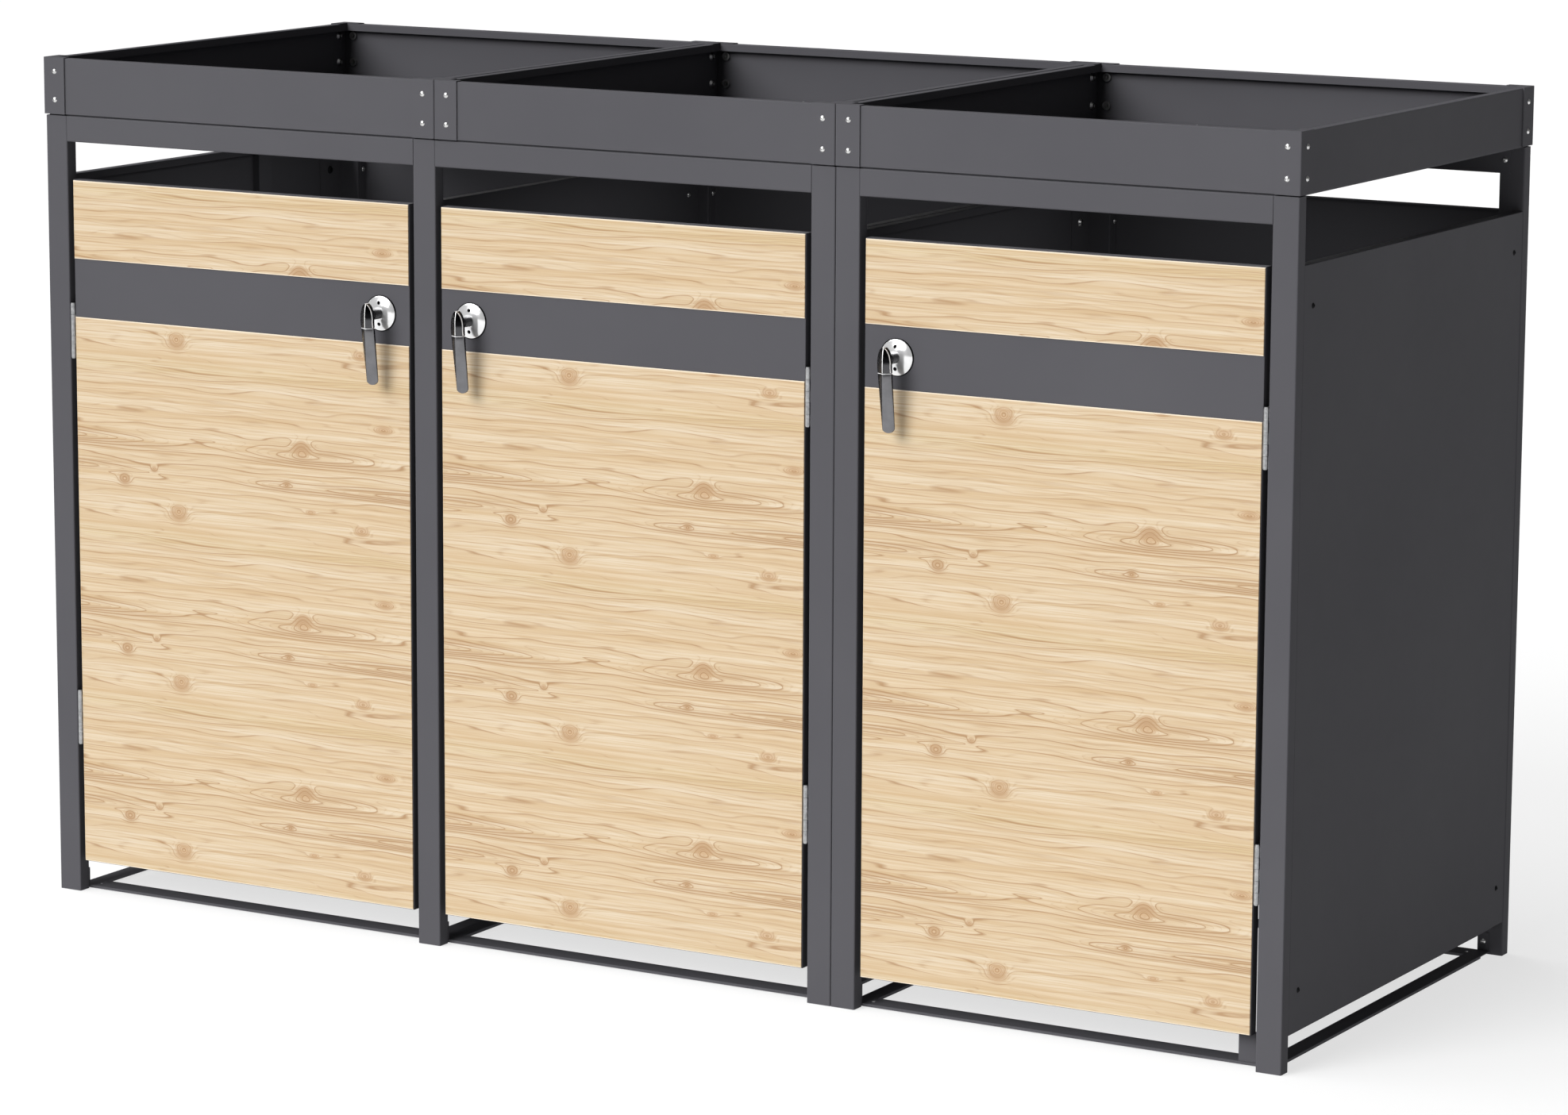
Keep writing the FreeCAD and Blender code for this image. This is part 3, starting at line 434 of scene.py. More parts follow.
# %% The finish of each node
FINISHES = {
    "grey_paint": steel_coat,
    "bright_steel": zinc,
    "dark_screws": black_coat,
    "chrome": rose_chrome,
    "dark_chrome": satin_chrome,
}
given = 0
for part in frame["record"]["subparts"]:
    finish = FINISHES.get(part["material_slot"])
    if finish:
        coat(part["node"], hinge_zinc if "hinge" in part["node"] else finish)
        given += 1
print("finishes given to", given, "nodes, beside the plates")


# %% [markdown]
# ## Bolts, screws and nuts
#
# Button-head bolts with a hexagon socket hold the walls, the rails and the trays, most of them
# with a nut behind. The CAD solids say where each one sits: every fastener is an island of
# a node's mesh, and all of them lie along X, Y or Z. A short search reads the islands back into
# a seat, a direction and a length. One Geometry Nodes tree then makes the bolt from a few
# sizes and puts it on every seat, and a second tree does the same for the nuts. Modelling
# each by hand would give the same result a hundred times over.

# %% Reading the fasteners back from a node
SAME_PLACE = 1e-6       # metres between two vertices that count as one
READING_SLACK = 0.0002  # how far a solid's width may be from a bolt head's
RIM_SHARE = 0.95        # vertices beyond this share of the head's radius are on its rim


def islands(mesh):
    """The vertex places of each separate solid in a CAD mesh, once its doubles are merged."""
    work = bmesh.new()
    work.from_mesh(mesh)
    bmesh.ops.remove_doubles(work, verts=work.verts, dist=SAME_PLACE)
    left = set(work.verts)
    found = []
    for seed in work.verts:
        if seed not in left:
            continue
        left.remove(seed)
        reach, island = [seed], []
        while reach:
            vertex = reach.pop()
            island.append(vertex.co.copy())
            for edge in vertex.link_edges:
                other = edge.other_vert(vertex)
                if other in left:
                    left.remove(other)
                    reach.append(other)
        found.append(island)
    work.free()
    return found


def read_fastener(island, head_radius):
    """Where a bolt's head sits, which way it faces and how long its shank is; or a nut's place."""
    low = Vector([min(co[k] for co in island) for k in range(3)])
    high = Vector([max(co[k] for co in island) for k in range(3)])
    size, middle = high - low, (high + low) / 2
    wide = [k for k in range(3) if abs(size[k] - 2 * head_radius) < READING_SLACK]
    if len(wide) != 2:
        axis = min(range(3), key=lambda k: size[k])
        facing = Vector([float(k == axis) for k in range(3)])
        return "nut", middle - facing * size[axis] / 2, facing, size[axis]
    axis = next(k for k in range(3) if k not in wide)
    rim = [
        co[axis] for co in island
        if math.hypot(*(co[k] - middle[k] for k in wide)) > RIM_SHARE * head_radius]
    way = 1.0 if sum(rim) / len(rim) > middle[axis] else -1.0
    facing = Vector([way * (k == axis) for k in range(3)])
    seat = middle.copy()
    seat[axis] = min(rim) if way > 0 else max(rim)
    end = low[axis] if way > 0 else high[axis]
    return "bolt", seat, facing, abs(seat[axis] - end)


# %% A small kit for Geometry Nodes trees
class Tree:
    """A Geometry Nodes tree with named inputs, and short calls that add nodes to it."""

    def __init__(self, name, *sizes):
        self.group = bpy.data.node_groups.new(name, "GeometryNodeTree")
        sockets = self.group.interface
        sockets.new_socket("Seats", in_out="INPUT", socket_type="NodeSocketGeometry")
        for label in sizes:
            sockets.new_socket(label, in_out="INPUT", socket_type="NodeSocketFloat")
        sockets.new_socket("Finish", in_out="INPUT", socket_type="NodeSocketMaterial")
        sockets.new_socket("Geometry", in_out="OUTPUT", socket_type="NodeSocketGeometry")
        self.inputs = self.group.nodes.new("NodeGroupInput").outputs
        self.output = self.group.nodes.new("NodeGroupOutput").inputs[0]

    def node(self, kind, **values):
        """Adds a node; a value is a plain one for a setting, or a socket or number for an input."""
        made = self.group.nodes.new(kind)
        for label, value in values.items():
            if hasattr(made, label):
                setattr(made, label, value)
                continue
            wanted = label.replace("_", " ")
            socket = next(k for k in made.inputs if wanted in (k.name, k.identifier))
            for each in value if isinstance(value, list) else [value]:
                if isinstance(each, bpy.types.NodeSocket):
                    self.group.links.new(each, socket)
                else:
                    socket.default_value = each
        return made.outputs[0]

    def sum(self, kind, first, second):
        made = self.group.nodes.new("ShaderNodeMath")
        made.operation = kind
        for socket, value in zip(made.inputs, (first, second)):
            if isinstance(value, bpy.types.NodeSocket):
                self.group.links.new(value, socket)
            else:
                socket.default_value = value
        return made.outputs[0]

    def along(self, length):
        """A vector of that length along Z."""
        return self.node("ShaderNodeCombineXYZ", Z=length)

    def moved(self, geometry, length):
        shift = self.along(length)
        return self.node("GeometryNodeTransform", Geometry=geometry, Translation=shift)

    def put_on_seats(self, geometry, stretch=False):
        """Copies the geometry to every seat, turned to face along the seat's own direction."""
        facing = self.node(
            "GeometryNodeInputNamedAttribute", data_type="FLOAT_VECTOR", Name="facing")
        turn = self.node("FunctionNodeAlignRotationToVector", axis="Z", Vector=facing)
        values = {"Points": self.inputs["Seats"], "Instance": geometry, "Rotation": turn}
        if stretch:
            reach = self.node(
                "GeometryNodeInputNamedAttribute", data_type="FLOAT", Name="reach")
            values["Scale"] = self.node("ShaderNodeCombineXYZ", X=1.0, Y=1.0, Z=reach)
        return self.node("GeometryNodeInstanceOnPoints", **values)

    def end(self, *parts):
        """Joins the parts, makes them real and gives them their finish."""
        joined = self.node("GeometryNodeJoinGeometry", Geometry=list(parts))
        real = self.node("GeometryNodeRealizeInstances", Geometry=joined)
        flat = self.node("GeometryNodeSetShadeSmooth", Geometry=real, Shade_Smooth=False)
        coated = self.node(
            "GeometryNodeSetMaterial", Geometry=flat, Material=self.inputs["Finish"])
        self.group.links.new(coated, self.output)


# %% Fastener sizes, in metres
CAD_HEAD_RADIUS = 0.0038
BOLT_SIZES = {
    "Head Radius": 0.0041, "Head Height": 0.0022, "Socket Radius": 0.0016, "Shank Radius": 0.0020,
}
NUT_SIZES = {"Corner Radius": 0.0040, "Height": 0.0032, "Bore Radius": 0.0021}
BALL_SHARE = 1.15       # radius of the ball that rounds the head, as a share of the head's
SOCKET_UP = 0.85        # the socket cutter's middle, as a share of the head's height
TAPER_FOOT, TAPER_TOP = 1.62, 0.90  # radii of the cone that cuts the nut's corners back


# %% The tree of the button-head bolt
def bolt_tree():
    """A domed head with a hexagon socket, and a plain rod as long as the seat's reach."""
    tree = Tree("Button-head bolt", *BOLT_SIZES)
    sizes = tree.inputs
    radius, height = sizes["Head Radius"], sizes["Head Height"]
    ball_radius = tree.sum("MULTIPLY", radius, BALL_SHARE)
    ball = tree.node("GeometryNodeMeshUVSphere", Segments=32, Rings=24, Radius=ball_radius)
    ball = tree.moved(ball, tree.sum("SUBTRACT", height, ball_radius))
    blank = tree.node("GeometryNodeMeshCylinder", Vertices=32, Radius=radius, Depth=height)
    blank = tree.moved(blank, tree.sum("MULTIPLY", height, 0.5))
    dome = tree.node("GeometryNodeMeshBoolean", operation="INTERSECT", Mesh_2=[blank, ball])
    bit = tree.node(
        "GeometryNodeMeshCylinder", Vertices=6, Radius=sizes["Socket Radius"], Depth=height)
    bit = tree.moved(bit, tree.sum("MULTIPLY", height, SOCKET_UP))
    head = tree.node(
        "GeometryNodeMeshBoolean", operation="DIFFERENCE", Mesh_1=dome, Mesh_2=[bit])
    rod = tree.node(
        "GeometryNodeMeshCylinder", Vertices=16, Radius=sizes["Shank Radius"], Depth=1.0)
    rod = tree.moved(rod, -0.5)
    tree.end(tree.put_on_seats(head), tree.put_on_seats(rod, stretch=True))
    return tree


# %% The tree of the hexagon nut
def nut_tree():
    """A hexagon nut whose corners are cut back to a cone, with a bore."""
    tree = Tree("Hexagon nut", *NUT_SIZES)
    sizes = tree.inputs
    radius, height = sizes["Corner Radius"], sizes["Height"]
    block = tree.node("GeometryNodeMeshCylinder", Vertices=6, Radius=radius, Depth=height)
    block = tree.moved(block, tree.sum("MULTIPLY", height, 0.5))
    taper = tree.node(
        "GeometryNodeMeshCone", Vertices=32, Depth=height,
        Radius_Bottom=tree.sum("MULTIPLY", radius, TAPER_FOOT),
        Radius_Top=tree.sum("MULTIPLY", radius, TAPER_TOP))
    cut = tree.node("GeometryNodeMeshBoolean", operation="INTERSECT", Mesh_2=[block, taper])
    bore = tree.node(
        "GeometryNodeMeshCylinder", Vertices=16, Radius=sizes["Bore Radius"], Depth=0.05)
    nut = tree.node("GeometryNodeMeshBoolean", operation="DIFFERENCE", Mesh_1=cut, Mesh_2=[bore])
    tree.end(tree.put_on_seats(nut))
    return tree


# %% Putting fasteners in place of a CAD node
def seats_object(name, seats):
    """An object that is only points, each with its facing and its reach."""
    mesh = bpy.data.meshes.new(name)
    mesh.from_pydata([place for place, _, _ in seats], [], [])
    mesh.attributes.new("facing", "FLOAT_VECTOR", "POINT")
    mesh.attributes.new("reach", "FLOAT", "POINT")
    for k, (_, direction, length) in enumerate(seats):
        mesh.attributes["facing"].data[k].vector = direction
        mesh.attributes["reach"].data[k].value = length
    return placed(name, mesh)


def kept(made):
    """Applies an object's modifiers, so that a plain mesh is left."""
    bpy.context.view_layer.update()
    evaluated = made.evaluated_get(bpy.context.evaluated_depsgraph_get())
    result = bpy.data.meshes.new_from_object(evaluated)
    made.modifiers.clear()
    made.data = result
    return made


def grown(name, seats, tree, finish, sizes):
    """Runs a tree on the seats and keeps its result as one plain mesh."""
    made = seats_object(name, seats)
    modifier = made.modifiers.new("fasteners", "NODES")
    modifier.node_group = tree.group
    values = {**sizes, "Finish": finish}
    for item in tree.group.interface.items_tree:
        if item.in_out == "INPUT" and item.name in values:
            modifier[item.identifier] = values[item.name]
    return kept(made)


BOLTS, NUTS = bolt_tree(), nut_tree()
FASTENERS = {
    "tray_bolts": "bright_steel",
    "frame_bolts": "bright_steel",
    "wall_screws": "dark_screws",
}
for node, finish_slot in FASTENERS.items():
    cad_mesh = frame["nodes"][node].data
    read = [read_fastener(island, CAD_HEAD_RADIUS) for island in islands(cad_mesh)]
    seats = {kind: [found[1:] for found in read if found[0] == kind] for kind in ("bolt", "nut")}
    finish = FINISHES[finish_slot]
    heads = grown(f"{node}_heads", seats["bolt"], BOLTS, finish, BOLT_SIZES)
    nuts = grown(f"{node}_nuts", seats["nut"], NUTS, finish, NUT_SIZES)
    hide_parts(node)
    for piece in (heads, nuts):
        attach(piece, "frame")
    print(node + ":", len(seats["bolt"]), "bolts and", len(seats["nut"]), "nuts;",
          "faces of the bolts:", len(heads.data.polygons))


# %% [markdown]
# ## Handles
#
# Each handle is one casting: a hub with an arched top over the door's rose, and a grip that
# hangs from it and gets thinner towards its round end. Its front has two facets that meet in a
# ridge, which starts right of the middle and runs out at the left edge, so the left facet, dark
# with painted shade, tapers to nothing. The hub's front carries a painted reflection, black above
# and grey below, and every edge is a painted highlight, a bright line.
#
# Such a form is a loft: sections stacked from the top down and joined side by side. A section
# has five corners, and the three on the front are cut off by a narrow chamfer. On the hub two of
# the chamfers have a material of their own, a painted highlight, which is how the bright lines
# come about.

# %% Handle sizes, in metres
HUB_HALF, END_HALF = 0.0105, 0.0095       # half widths, at the hub and at the grip's end
HUB_ABOVE, HUB_ARCH = 0.0180, 0.0225      # hub above the turning axis, and its arch's height
HUB_BELOW = 0.0100                        # hub below the axis, where the grip starts to taper
GRIP_BELOW, END_ROUND = 0.1010, 0.0085    # grip's end below the axis, and its rounding
HUB_DEEP, GRIP_THIN = 0.0120, 0.0040      # front to back, at the hub and at the end
GRIP_SWEEP, GRIP_SHIFT = 0.0080, 0.0020   # the end stands nearer to the door, and further right
RIDGE_TOP, RIDGE_END = 0.0015, -0.0080    # the ridge's place across, at the hub and at the end
FACET_FALL = 0.0070                       # the facets fall this much from the ridge, at the hub
CHAMFER = 0.0008                          # width of the chamfered edges, some of them painted as highlights
HUB_BOW = 0.0030                          # how far the hub's face falls back at its top
SEAM_TOP, SEAM_FOOT, SEAM_DEEP = 0.0166, 0.0175, 0.0005
SEAM_WALL = 0.0001                        # height in which the seam's upper wall turns inwards
STEM_RADIUS, SPINDLE_RADIUS, STEM_LONG = 0.0075, 0.0060, 0.0250
STEM_SMALL, STEM_CUT = 0.0045, 0.0005     # the stem's tip inside the hub, and its chamfers
SPINDLE_SUNK = 0.0010                     # the spindle's start inside the stem
WAIST_NEAR, WAIST_FAR = 0.0060, 0.0082    # a shallow groove round the stem, from the hub's back
WAIST, WAIST_SLOPE = 0.86, 0.0006         # its share of the stem's radius, and its sloping sides
EDGE_CUT = 0.0004                         # chamfers of the other turned edges


# %% The handle's sections
FLAT_TIP = 0.10                           # share of the full width at the very top and end
ARCH_STEPS, SHANK_STEPS = 10, 8


def rounding(depth, reach):
    """How much of the full width is left at a depth from the tip of an arch; its tip is flat."""
    near = 1 - min(1.0, max(0.0, depth) / reach)
    return max(FLAT_TIP, math.sqrt(1 - near * near))


def handle_section(down, inset):
    """The eight corners of the section, as (sideways, outwards from the hub's back)."""
    share = max(0.0, (down - HUB_BELOW) / (GRIP_BELOW - HUB_BELOW))
    full = HUB_HALF + (END_HALF - HUB_HALF) * share
    half = full * rounding(down + HUB_ABOVE, HUB_ARCH) * rounding(GRIP_BELOW - down, END_ROUND)
    back = -GRIP_SWEEP * share
    face = HUB_DEEP + (GRIP_THIN - GRIP_SWEEP - HUB_DEEP) * share
    face -= HUB_BOW * max(0.0, -down / HUB_ABOVE) ** 2
    fall = FACET_FALL * (face - back) / HUB_DEEP
    line = RIDGE_TOP + (RIDGE_END - RIDGE_TOP) * share
    cut = min(CHAMFER, half / 4)
    ridge = max(line, 1.6 * cut - half)  # stays clear of the left edge's chamfer

    def corner(side, drop=0.0):
        reach = full - line if side > line else full + line
        return side + GRIP_SHIFT * share, face - fall * abs(side - line) / reach - drop - inset

    side = half - inset
    low = back + inset
    return [
        (-side + GRIP_SHIFT * share, low), (side + GRIP_SHIFT * share, low),
        corner(side, cut), corner(side - cut),
        corner(ridge + cut * 0.5), corner(ridge - cut * 0.5),
        corner(-side + cut), corner(-side, cut),
    ]


def handle_levels():
    """Depths of the sections, close together at both ends, with the seam's four in between."""
    turns = [math.radians(90 * k / ARCH_STEPS) for k in range(1, ARCH_STEPS + 1)]
    top = [-HUB_ABOVE + HUB_ARCH * (1 - math.cos(turn)) for turn in turns]
    end = [GRIP_BELOW - END_ROUND * (1 - math.cos(turn)) for turn in reversed(turns)]
    seam = [
        (SEAM_TOP, 0), (SEAM_TOP + SEAM_WALL, SEAM_DEEP),
        (SEAM_FOOT, SEAM_DEEP), (SEAM_FOOT + CHAMFER, 0),
    ]
    step = (end[0] - SEAM_FOOT) / SHANK_STEPS
    shank = [SEAM_FOOT + k * step for k in range(1, SHANK_STEPS)]
    return [(d, 0) for d in top + [HUB_BELOW]] + seam + [(d, 0) for d in shank + end]


# %% Turned pieces
SHARP_ANGLE = math.radians(30.0)
SAME_POINT = 1e-7       # metres between two vertices that are merged


def ring(mesh, axis_place, radius, y, steps):
    """A ring of vertices round a line along Y."""
    x, z = axis_place
    angles = [2 * math.pi * k / steps for k in range(steps)]
    return [mesh.verts.new((x + radius * math.cos(a), y, z + radius * math.sin(a))) for a in angles]


def turned(mesh, axis_place, profile, steps, slot_index, hollow=False):
    """Adds a surface of revolution round the Y axis; the profile is (radius, y) pairs.
    A hollow one closes its profile on itself, and any other gets a flat cap at each end."""
    rings = [ring(mesh, axis_place, radius, y, steps) for radius, y in profile]
    for first, second in zip(rings, rings[1:] + rings[:1] if hollow else rings[1:]):
        for k in range(steps):
            j = (k + 1) % steps
            mesh.faces.new((first[k], first[j], second[j], second[k])).material_index = slot_index
    for cap in () if hollow else (rings[0], rings[-1]):
        mesh.faces.new(cap).material_index = slot_index


def finished(name, mesh, materials):
    """Turns a bmesh into an object with its faces outward and its sharp edges kept."""
    bmesh.ops.remove_doubles(mesh, verts=mesh.verts, dist=SAME_POINT)
    bmesh.ops.recalc_face_normals(mesh, faces=mesh.faces)
    data = bpy.data.meshes.new(name)
    mesh.to_mesh(data)
    mesh.free()
    for material in materials:
        data.materials.append(material)
    for face in data.polygons:
        face.use_smooth = True
    data.set_sharp_from_angle(angle=SHARP_ANGLE)
    return placed(name, data)


# %% The handle itself
LIGHT, PAINTED_REFLECTION, SHADED, EDGE_HIGHLIGHT = range(4)       # the slots of the handle's four finishes: lit satin chrome, painted reflection, painted shade, painted highlight
# Painted shade on the back, the sides and the left facet; on the hub, painted highlights on two
# chamfers and a painted reflection on the right facet.
HUB_FACES = (SHADED, SHADED, EDGE_HIGHLIGHT, PAINTED_REFLECTION, EDGE_HIGHLIGHT, SHADED, LIGHT, SHADED)
GRIP_FACES = (SHADED, SHADED, LIGHT, LIGHT, LIGHT, SHADED, SHADED, SHADED)


def faces_at(down):
    """The finish of each of the eight faces between this section and the next one down."""
    if down < SEAM_TOP - SEAM_WALL:
        return HUB_FACES
    # The seam's groove is painted shade, and its lower chamfer a painted highlight.
    if down < SEAM_FOOT - SEAM_WALL:
        return (SHADED,) * 8
    return (EDGE_HIGHLIGHT,) * 8 if down < SEAM_FOOT + SEAM_WALL else GRIP_FACES


def make_grip(name, x, z, back_y):
    """The grip with its hub, a loft from the top of the hub down."""
    work = bmesh.new()
    rings = []
    for down, inset in handle_levels():
        section = handle_section(down, inset)
        rings.append([work.verts.new((x + side, back_y - out, z - down)) for side, out in section])
    for (down, _), first, second in zip(handle_levels(), rings, rings[1:]):
        for corner, slot_index in enumerate(faces_at(down)):
            after = (corner + 1) % 8
            face = work.faces.new((first[corner], first[after], second[after], second[corner]))
            face.material_index = slot_index
    work.faces.new(rings[0]).material_index = EDGE_HIGHLIGHT
    work.faces.new(rings[-1]).material_index = LIGHT
    return finished(name, work, (satin_chrome, hub_reflection_paint, satin_shaded, edge_highlight_paint))


def make_stem(name, x, z, back_y, spindle_y):
    """The stem between the hub and the rose, and the spindle that goes on through the door."""
    foot_y = back_y + STEM_LONG
    waist = STEM_RADIUS * WAIST
    profile = [
        (STEM_SMALL, back_y + STEM_CUT), (STEM_RADIUS, back_y - STEM_CUT),
        (STEM_RADIUS, back_y + WAIST_NEAR), (waist, back_y + WAIST_NEAR + WAIST_SLOPE),
        (waist, back_y + WAIST_FAR - WAIST_SLOPE), (STEM_RADIUS, back_y + WAIST_FAR),
        (STEM_RADIUS, foot_y - EDGE_CUT), (STEM_RADIUS - EDGE_CUT, foot_y),
    ]
    work = bmesh.new()
    # The stem takes the darker copy of the chrome, as painted shade; the spindle the lit one.
    turned(work, (x, z), profile, steps=40, slot_index=1)
    spindle = [(SPINDLE_RADIUS, foot_y - SPINDLE_SUNK), (SPINDLE_RADIUS, spindle_y)]
    turned(work, (x, z), spindle, steps=24, slot_index=0)
    return finished(name, work, (satin_chrome, satin_shaded))


# %% [markdown]
# ## Roses
#
# Behind each handle a round rose covers the hole in the door. It is turned: one profile spun
# round the spindle's axis gives the flat boss, the low dome, the rim and the neck that goes
# through the door to its nut. The outer band of the rim is painted black, a painted contact
# shadow and dark reflection. Two screws sit in round recesses above and below the boss, whose
# walls and floors are painted black as painted shade. A Boolean modifier cuts the recesses, and
# its result is kept as a plain mesh.

# %% Rose, screws and lock nut
ROSE_RADIUS, BOSS_OUT = 0.0265, 0.0065
BOSS_RADIUS, DOME_RADIUS = 0.0095, ROSE_RADIUS - 0.0006
BOSS_FLAT, RIM_CUT = 0.0088, 0.0003       # the boss's flat face, and the rim's rear chamfer
DOME_FALL, RIM_SHADE_WIDTH = 0.0056, 0.0018     # the dome's height, and the width of the rim band painted black as contact shadow and dark reflection
NECK_RADIUS, NECK_LONG, BORE_RADIUS = 0.0095, 0.0092, 0.0063
SCREW_UP, RECESS_RADIUS, RECESS_DEEP = 0.0155, 0.0027, 0.0016
LOCK_NUT_RADIUS, LOCK_NUT_NEAR, LOCK_NUT_FAR = 0.0150, 0.0012, 0.0052
NUT_PLAY = 0.0001
CUTTER_OUT = 0.0020                       # how far the cutter stands out before the rose
SCREW_HEAD = (                            # radius, and height above the recess's floor
    (0.0023, 0.0), (0.0023, 0.0004), (0.0019, 0.0007), (0.0009, 0.0008), (0.0008, 0.0001),
)
DOME_STEPS = 16


def dome_height(radius):
    """The rose's face at a radius, outwards from the door: flat by the boss, steep at the rim."""
    out = max(0.0, (radius - BOSS_RADIUS) / (DOME_RADIUS - BOSS_RADIUS))
    return BOSS_OUT - DOME_FALL * (0.45 * out + 0.55 * out ** 3)


def rose_profile(foot):
    """A low dome from the boss to the rim, then the neck behind it."""
    wide = DOME_RADIUS - BOSS_RADIUS
    radii = [BOSS_RADIUS + wide * k / DOME_STEPS for k in range(DOME_STEPS + 1)]
    boss, end = foot - BOSS_OUT, foot + NECK_LONG
    return [
        (BORE_RADIUS, boss + EDGE_CUT), (BORE_RADIUS + EDGE_CUT, boss), (BOSS_FLAT, boss),
        *[(radius, foot - dome_height(radius)) for radius in radii],
        (ROSE_RADIUS, foot - EDGE_CUT), (ROSE_RADIUS - RIM_CUT, foot), (NECK_RADIUS, foot),
        (NECK_RADIUS, end - EDGE_CUT), (NECK_RADIUS - EDGE_CUT, end), (BORE_RADIUS, end),
    ]


def make_rose(name, x, z, foot):
    """The rose with its two recesses."""
    work = bmesh.new()
    turned(work, (x, z), rose_profile(foot), steps=72, slot_index=0, hollow=True)
    # The rim's outer band is painted black: a painted contact shadow and dark reflection.
    for face in work.faces:
        middle = face.calc_center_median()
        if math.hypot(middle.x - x, middle.z - z) > ROSE_RADIUS - RIM_SHADE_WIDTH:
            face.material_index = 1
    rose = finished(name, work, (rose_chrome, black_gloss_and_painted_shade))
    face = foot - dome_height(SCREW_UP)
    recess = [(RECESS_RADIUS, face - CUTTER_OUT), (RECESS_RADIUS, face + RECESS_DEEP)]
    work = bmesh.new()
    # The cutter's faces take the black slot, so the recesses' walls and floors are painted shade.
    for up in (SCREW_UP, -SCREW_UP):
        turned(work, (x, z + up), recess, steps=24, slot_index=1)
    cutter = finished(name + "_cutter", work, (rose_chrome, black_gloss_and_painted_shade))
    cut = rose.modifiers.new("recesses", "BOOLEAN")
    cut.operation, cut.object, cut.solver = "DIFFERENCE", cutter, "EXACT"
    kept(rose)
    bpy.data.objects.remove(cutter)
    rose.data.set_sharp_from_angle(angle=SHARP_ANGLE)
    return rose


def make_rose_fixings(name, x, z, foot):
    """The two sunk screws, and the lock nut behind the door."""
    work = bmesh.new()
    deep = foot - dome_height(SCREW_UP) + RECESS_DEEP
    head = [(radius, deep - height) for radius, height in SCREW_HEAD]
    for up in (SCREW_UP, -SCREW_UP):
        turned(work, (x, z + up), head, steps=20, slot_index=0)
    near, far, hole = foot + LOCK_NUT_NEAR, foot + LOCK_NUT_FAR, NECK_RADIUS + NUT_PLAY
    nut = [(LOCK_NUT_RADIUS, near), (LOCK_NUT_RADIUS, far), (hole, far), (hole, near)]
    turned(work, (x, z), nut, steps=6, slot_index=1, hollow=True)
    return finished(name, work, (black_gloss_and_painted_shade, zinc))


# %% The three handles and roses in their places
for number in (1, 2, 3):
    low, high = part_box(f"lever_{number}_grip")
    rose_low, rose_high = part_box(f"door_{number}_rosette")
    x = (rose_low[0] + rose_high[0]) / 2
    z = (rose_low[2] + rose_high[2]) / 2
    handle = make_grip(f"handle_{number}", x, z, low[1] + HUB_DEEP)
    stem = make_stem(f"handle_{number}_stem", x, z, low[1] + HUB_DEEP, high[1])
    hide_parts(f"lever_{number}_grip")
    foot = rose_low[1] + BOSS_OUT
    rose = make_rose(f"rose_{number}", x, z, foot)
    fixings = make_rose_fixings(f"rose_{number}_fixings", x, z, foot)
    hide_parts(f"door_{number}_rosette")
    for piece in (handle, stem):
        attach(piece, f"lever_{number}")
    for piece in (rose, fixings):
        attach(piece, f"door_{number}")
print("three handles and roses, turning at height", round(z, 3), "m")


# %% [markdown]
# ## Floor, light and camera
#
# The photograph is a cut-out on white: soft light from the front left, a darker right side,
# and a bin space that falls to near black. Two soft suns, in front and above, give that; a sun
# in Blender is light from one direction, blurred here over a wide angle. The floor is a light
# table, which glows evenly: it stays white under the store, and it gives most of the light on
# the right side. A round backdrop is white to the camera and invisible to the light. A weak
# lamp hangs in each bay. The camera stands well back with a long lens, low, to the right.

# %% Floor and backdrop
FLOOR_HALF, FLOOR_DROP = 30.0, 0.0005
BACKDROP_RADIUS = 35.0


def grey(level):
    """A neutral colour."""
    return level, level, level


def make_floor():
    """A square plane a little below the store's feet, with a glow of its own."""
    corners = [(-1, -1), (1, -1), (1, 1), (-1, 1)]
    mesh = bpy.data.meshes.new("floor")
    mesh.from_pydata([(x * FLOOR_HALF, y * FLOOR_HALF, 0) for x, y in corners], [], [(0, 1, 2, 3)])
    made = placed("floor", mesh)
    made.location.z = -FLOOR_DROP
    glow = Finish("Pale floor", Roughness=0.85, Specular_IOR_Level=0.1, Emission_Strength=0.69)
    tint = glow.ramp(glow.noise(0.6, 2.0), (0.3, grey(0.245)), (0.7, grey(0.26)))
    glow.feed("Base Color", tint)
    glow.shader.inputs["Emission Color"].default_value = (1.0, 1.0, 1.0, 1.0)
    mesh.materials.append(glow.material)
    return made


def make_backdrop():
    """A sphere round everything that only the camera sees."""
    work = bmesh.new()
    bmesh.ops.create_uvsphere(work, u_segments=48, v_segments=24, radius=BACKDROP_RADIUS)
    mesh = bpy.data.meshes.new("backdrop")
    work.to_mesh(mesh)
    work.free()
    paper = Finish(
        "Backdrop paper", Roughness=1.0, Specular_IOR_Level=0.0, Emission_Strength=1.05)
    tint = paper.ramp(paper.noise(0.05, 2.0), (0.3, grey(0.99)), (0.7, grey(1.0)))
    paper.feed("Emission Color", tint)
    mesh.materials.append(paper.material)
    made = placed("backdrop", mesh)
    made.visible_diffuse = made.visible_glossy = made.visible_shadow = False
    return made


floor = make_floor()
backdrop = make_backdrop()
print("floor and backdrop:", 2 * FLOOR_HALF, "m and", 2 * BACKDROP_RADIUS, "m across")


# %% Lights
LAMP_SIZE, LAMP_POWER = (0.45, 0.55), 0.8
LAMP_DROP = 0.05        # the lamp's height below the floor of the tray


def soft_sun(name, towards, strength, spread):
    """Light from one direction, blurred over an angle, and the same at any distance."""
    data = bpy.data.lights.new(name, "SUN")
    data.energy = strength
    data.angle = math.radians(spread)
    placed(name, data).rotation_euler = Vector(towards).to_track_quat("Z", "Y").to_euler()


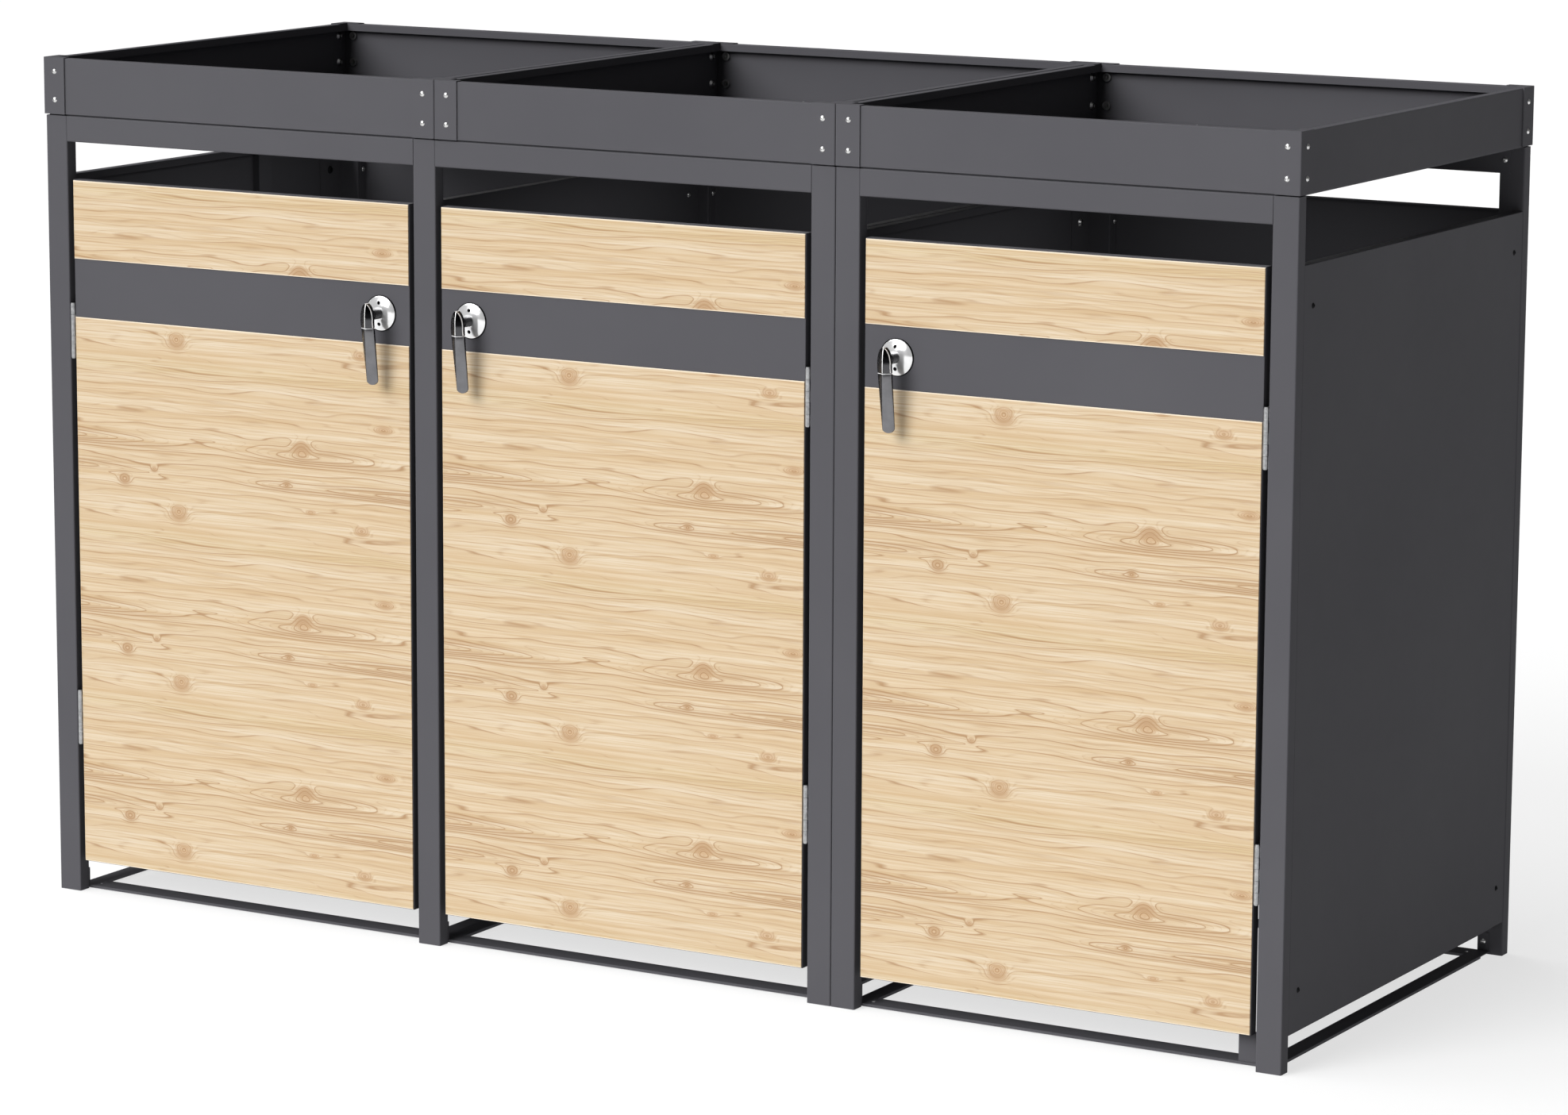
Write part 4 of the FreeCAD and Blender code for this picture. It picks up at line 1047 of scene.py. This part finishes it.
def bay_lamp(number):
    """A weak lamp under a tray, so that the bin space isn't pitch black; it stays unseen."""
    name = f"bay {number} fill"
    low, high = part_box(f"tray_{number}_floor")
    data = bpy.data.lights.new(name, "AREA")
    data.shape, data.energy = "RECTANGLE", LAMP_POWER
    data.size, data.size_y = LAMP_SIZE
    made = placed(name, data)
    made.location = ((low[0] + high[0]) / 2, (low[1] + high[1]) / 2, low[2] - LAMP_DROP)
    made.visible_camera = False


soft_sun("front softbox", (-0.27, -0.82, 0.50), 3.85, 38)
soft_sun("top softbox", (-0.50, -0.12, 0.86), 2.4, 56)
for number in (1, 2, 3):
    bay_lamp(number)
world = bpy.data.worlds.new("Studio")
bpy.context.scene.world = world
world.use_nodes = True
air = world.node_tree.nodes["Background"].inputs
air["Color"].default_value = (1.0, 1.0, 1.0, 1.0)
air["Strength"].default_value = 0.12
bpy.context.scene.view_settings.view_transform = "Standard"
print("lamps:", len(bpy.data.lights))

# %% Camera
PHOTO_WIDTH = 1975
YAW, PITCH, ROLL = (math.radians(angle) for angle in (30.22, 10.173, 0.278))
CAMERA_PLACE = (3.9783, -6.7707, 1.9600)
FOCAL_PIXELS = 6845.8


def make_camera():
    """A camera turned about its own axes: first to the left, then down, then rolled."""
    level = math.cos(PITCH)
    back = Vector((math.sin(YAW) * level, -math.cos(YAW) * level, math.sin(PITCH)))
    right = Vector((math.cos(YAW), math.sin(YAW), 0.0))
    up = back.cross(right)
    side = right * math.cos(ROLL) + up * math.sin(ROLL)
    top = up * math.cos(ROLL) - right * math.sin(ROLL)
    data = bpy.data.cameras.new("camera")
    data.sensor_width = 36.0
    data.lens = FOCAL_PIXELS / PHOTO_WIDTH * data.sensor_width
    data.clip_start, data.clip_end = 0.1, 200.0
    made = placed("camera", data)
    turn = Matrix((side, top, back)).transposed().to_4x4()
    made.matrix_world = Matrix.Translation(CAMERA_PLACE) @ turn
    return made


camera = make_camera()
bpy.context.scene.camera = camera
print("lens:", round(camera.data.lens, 1), "mm")
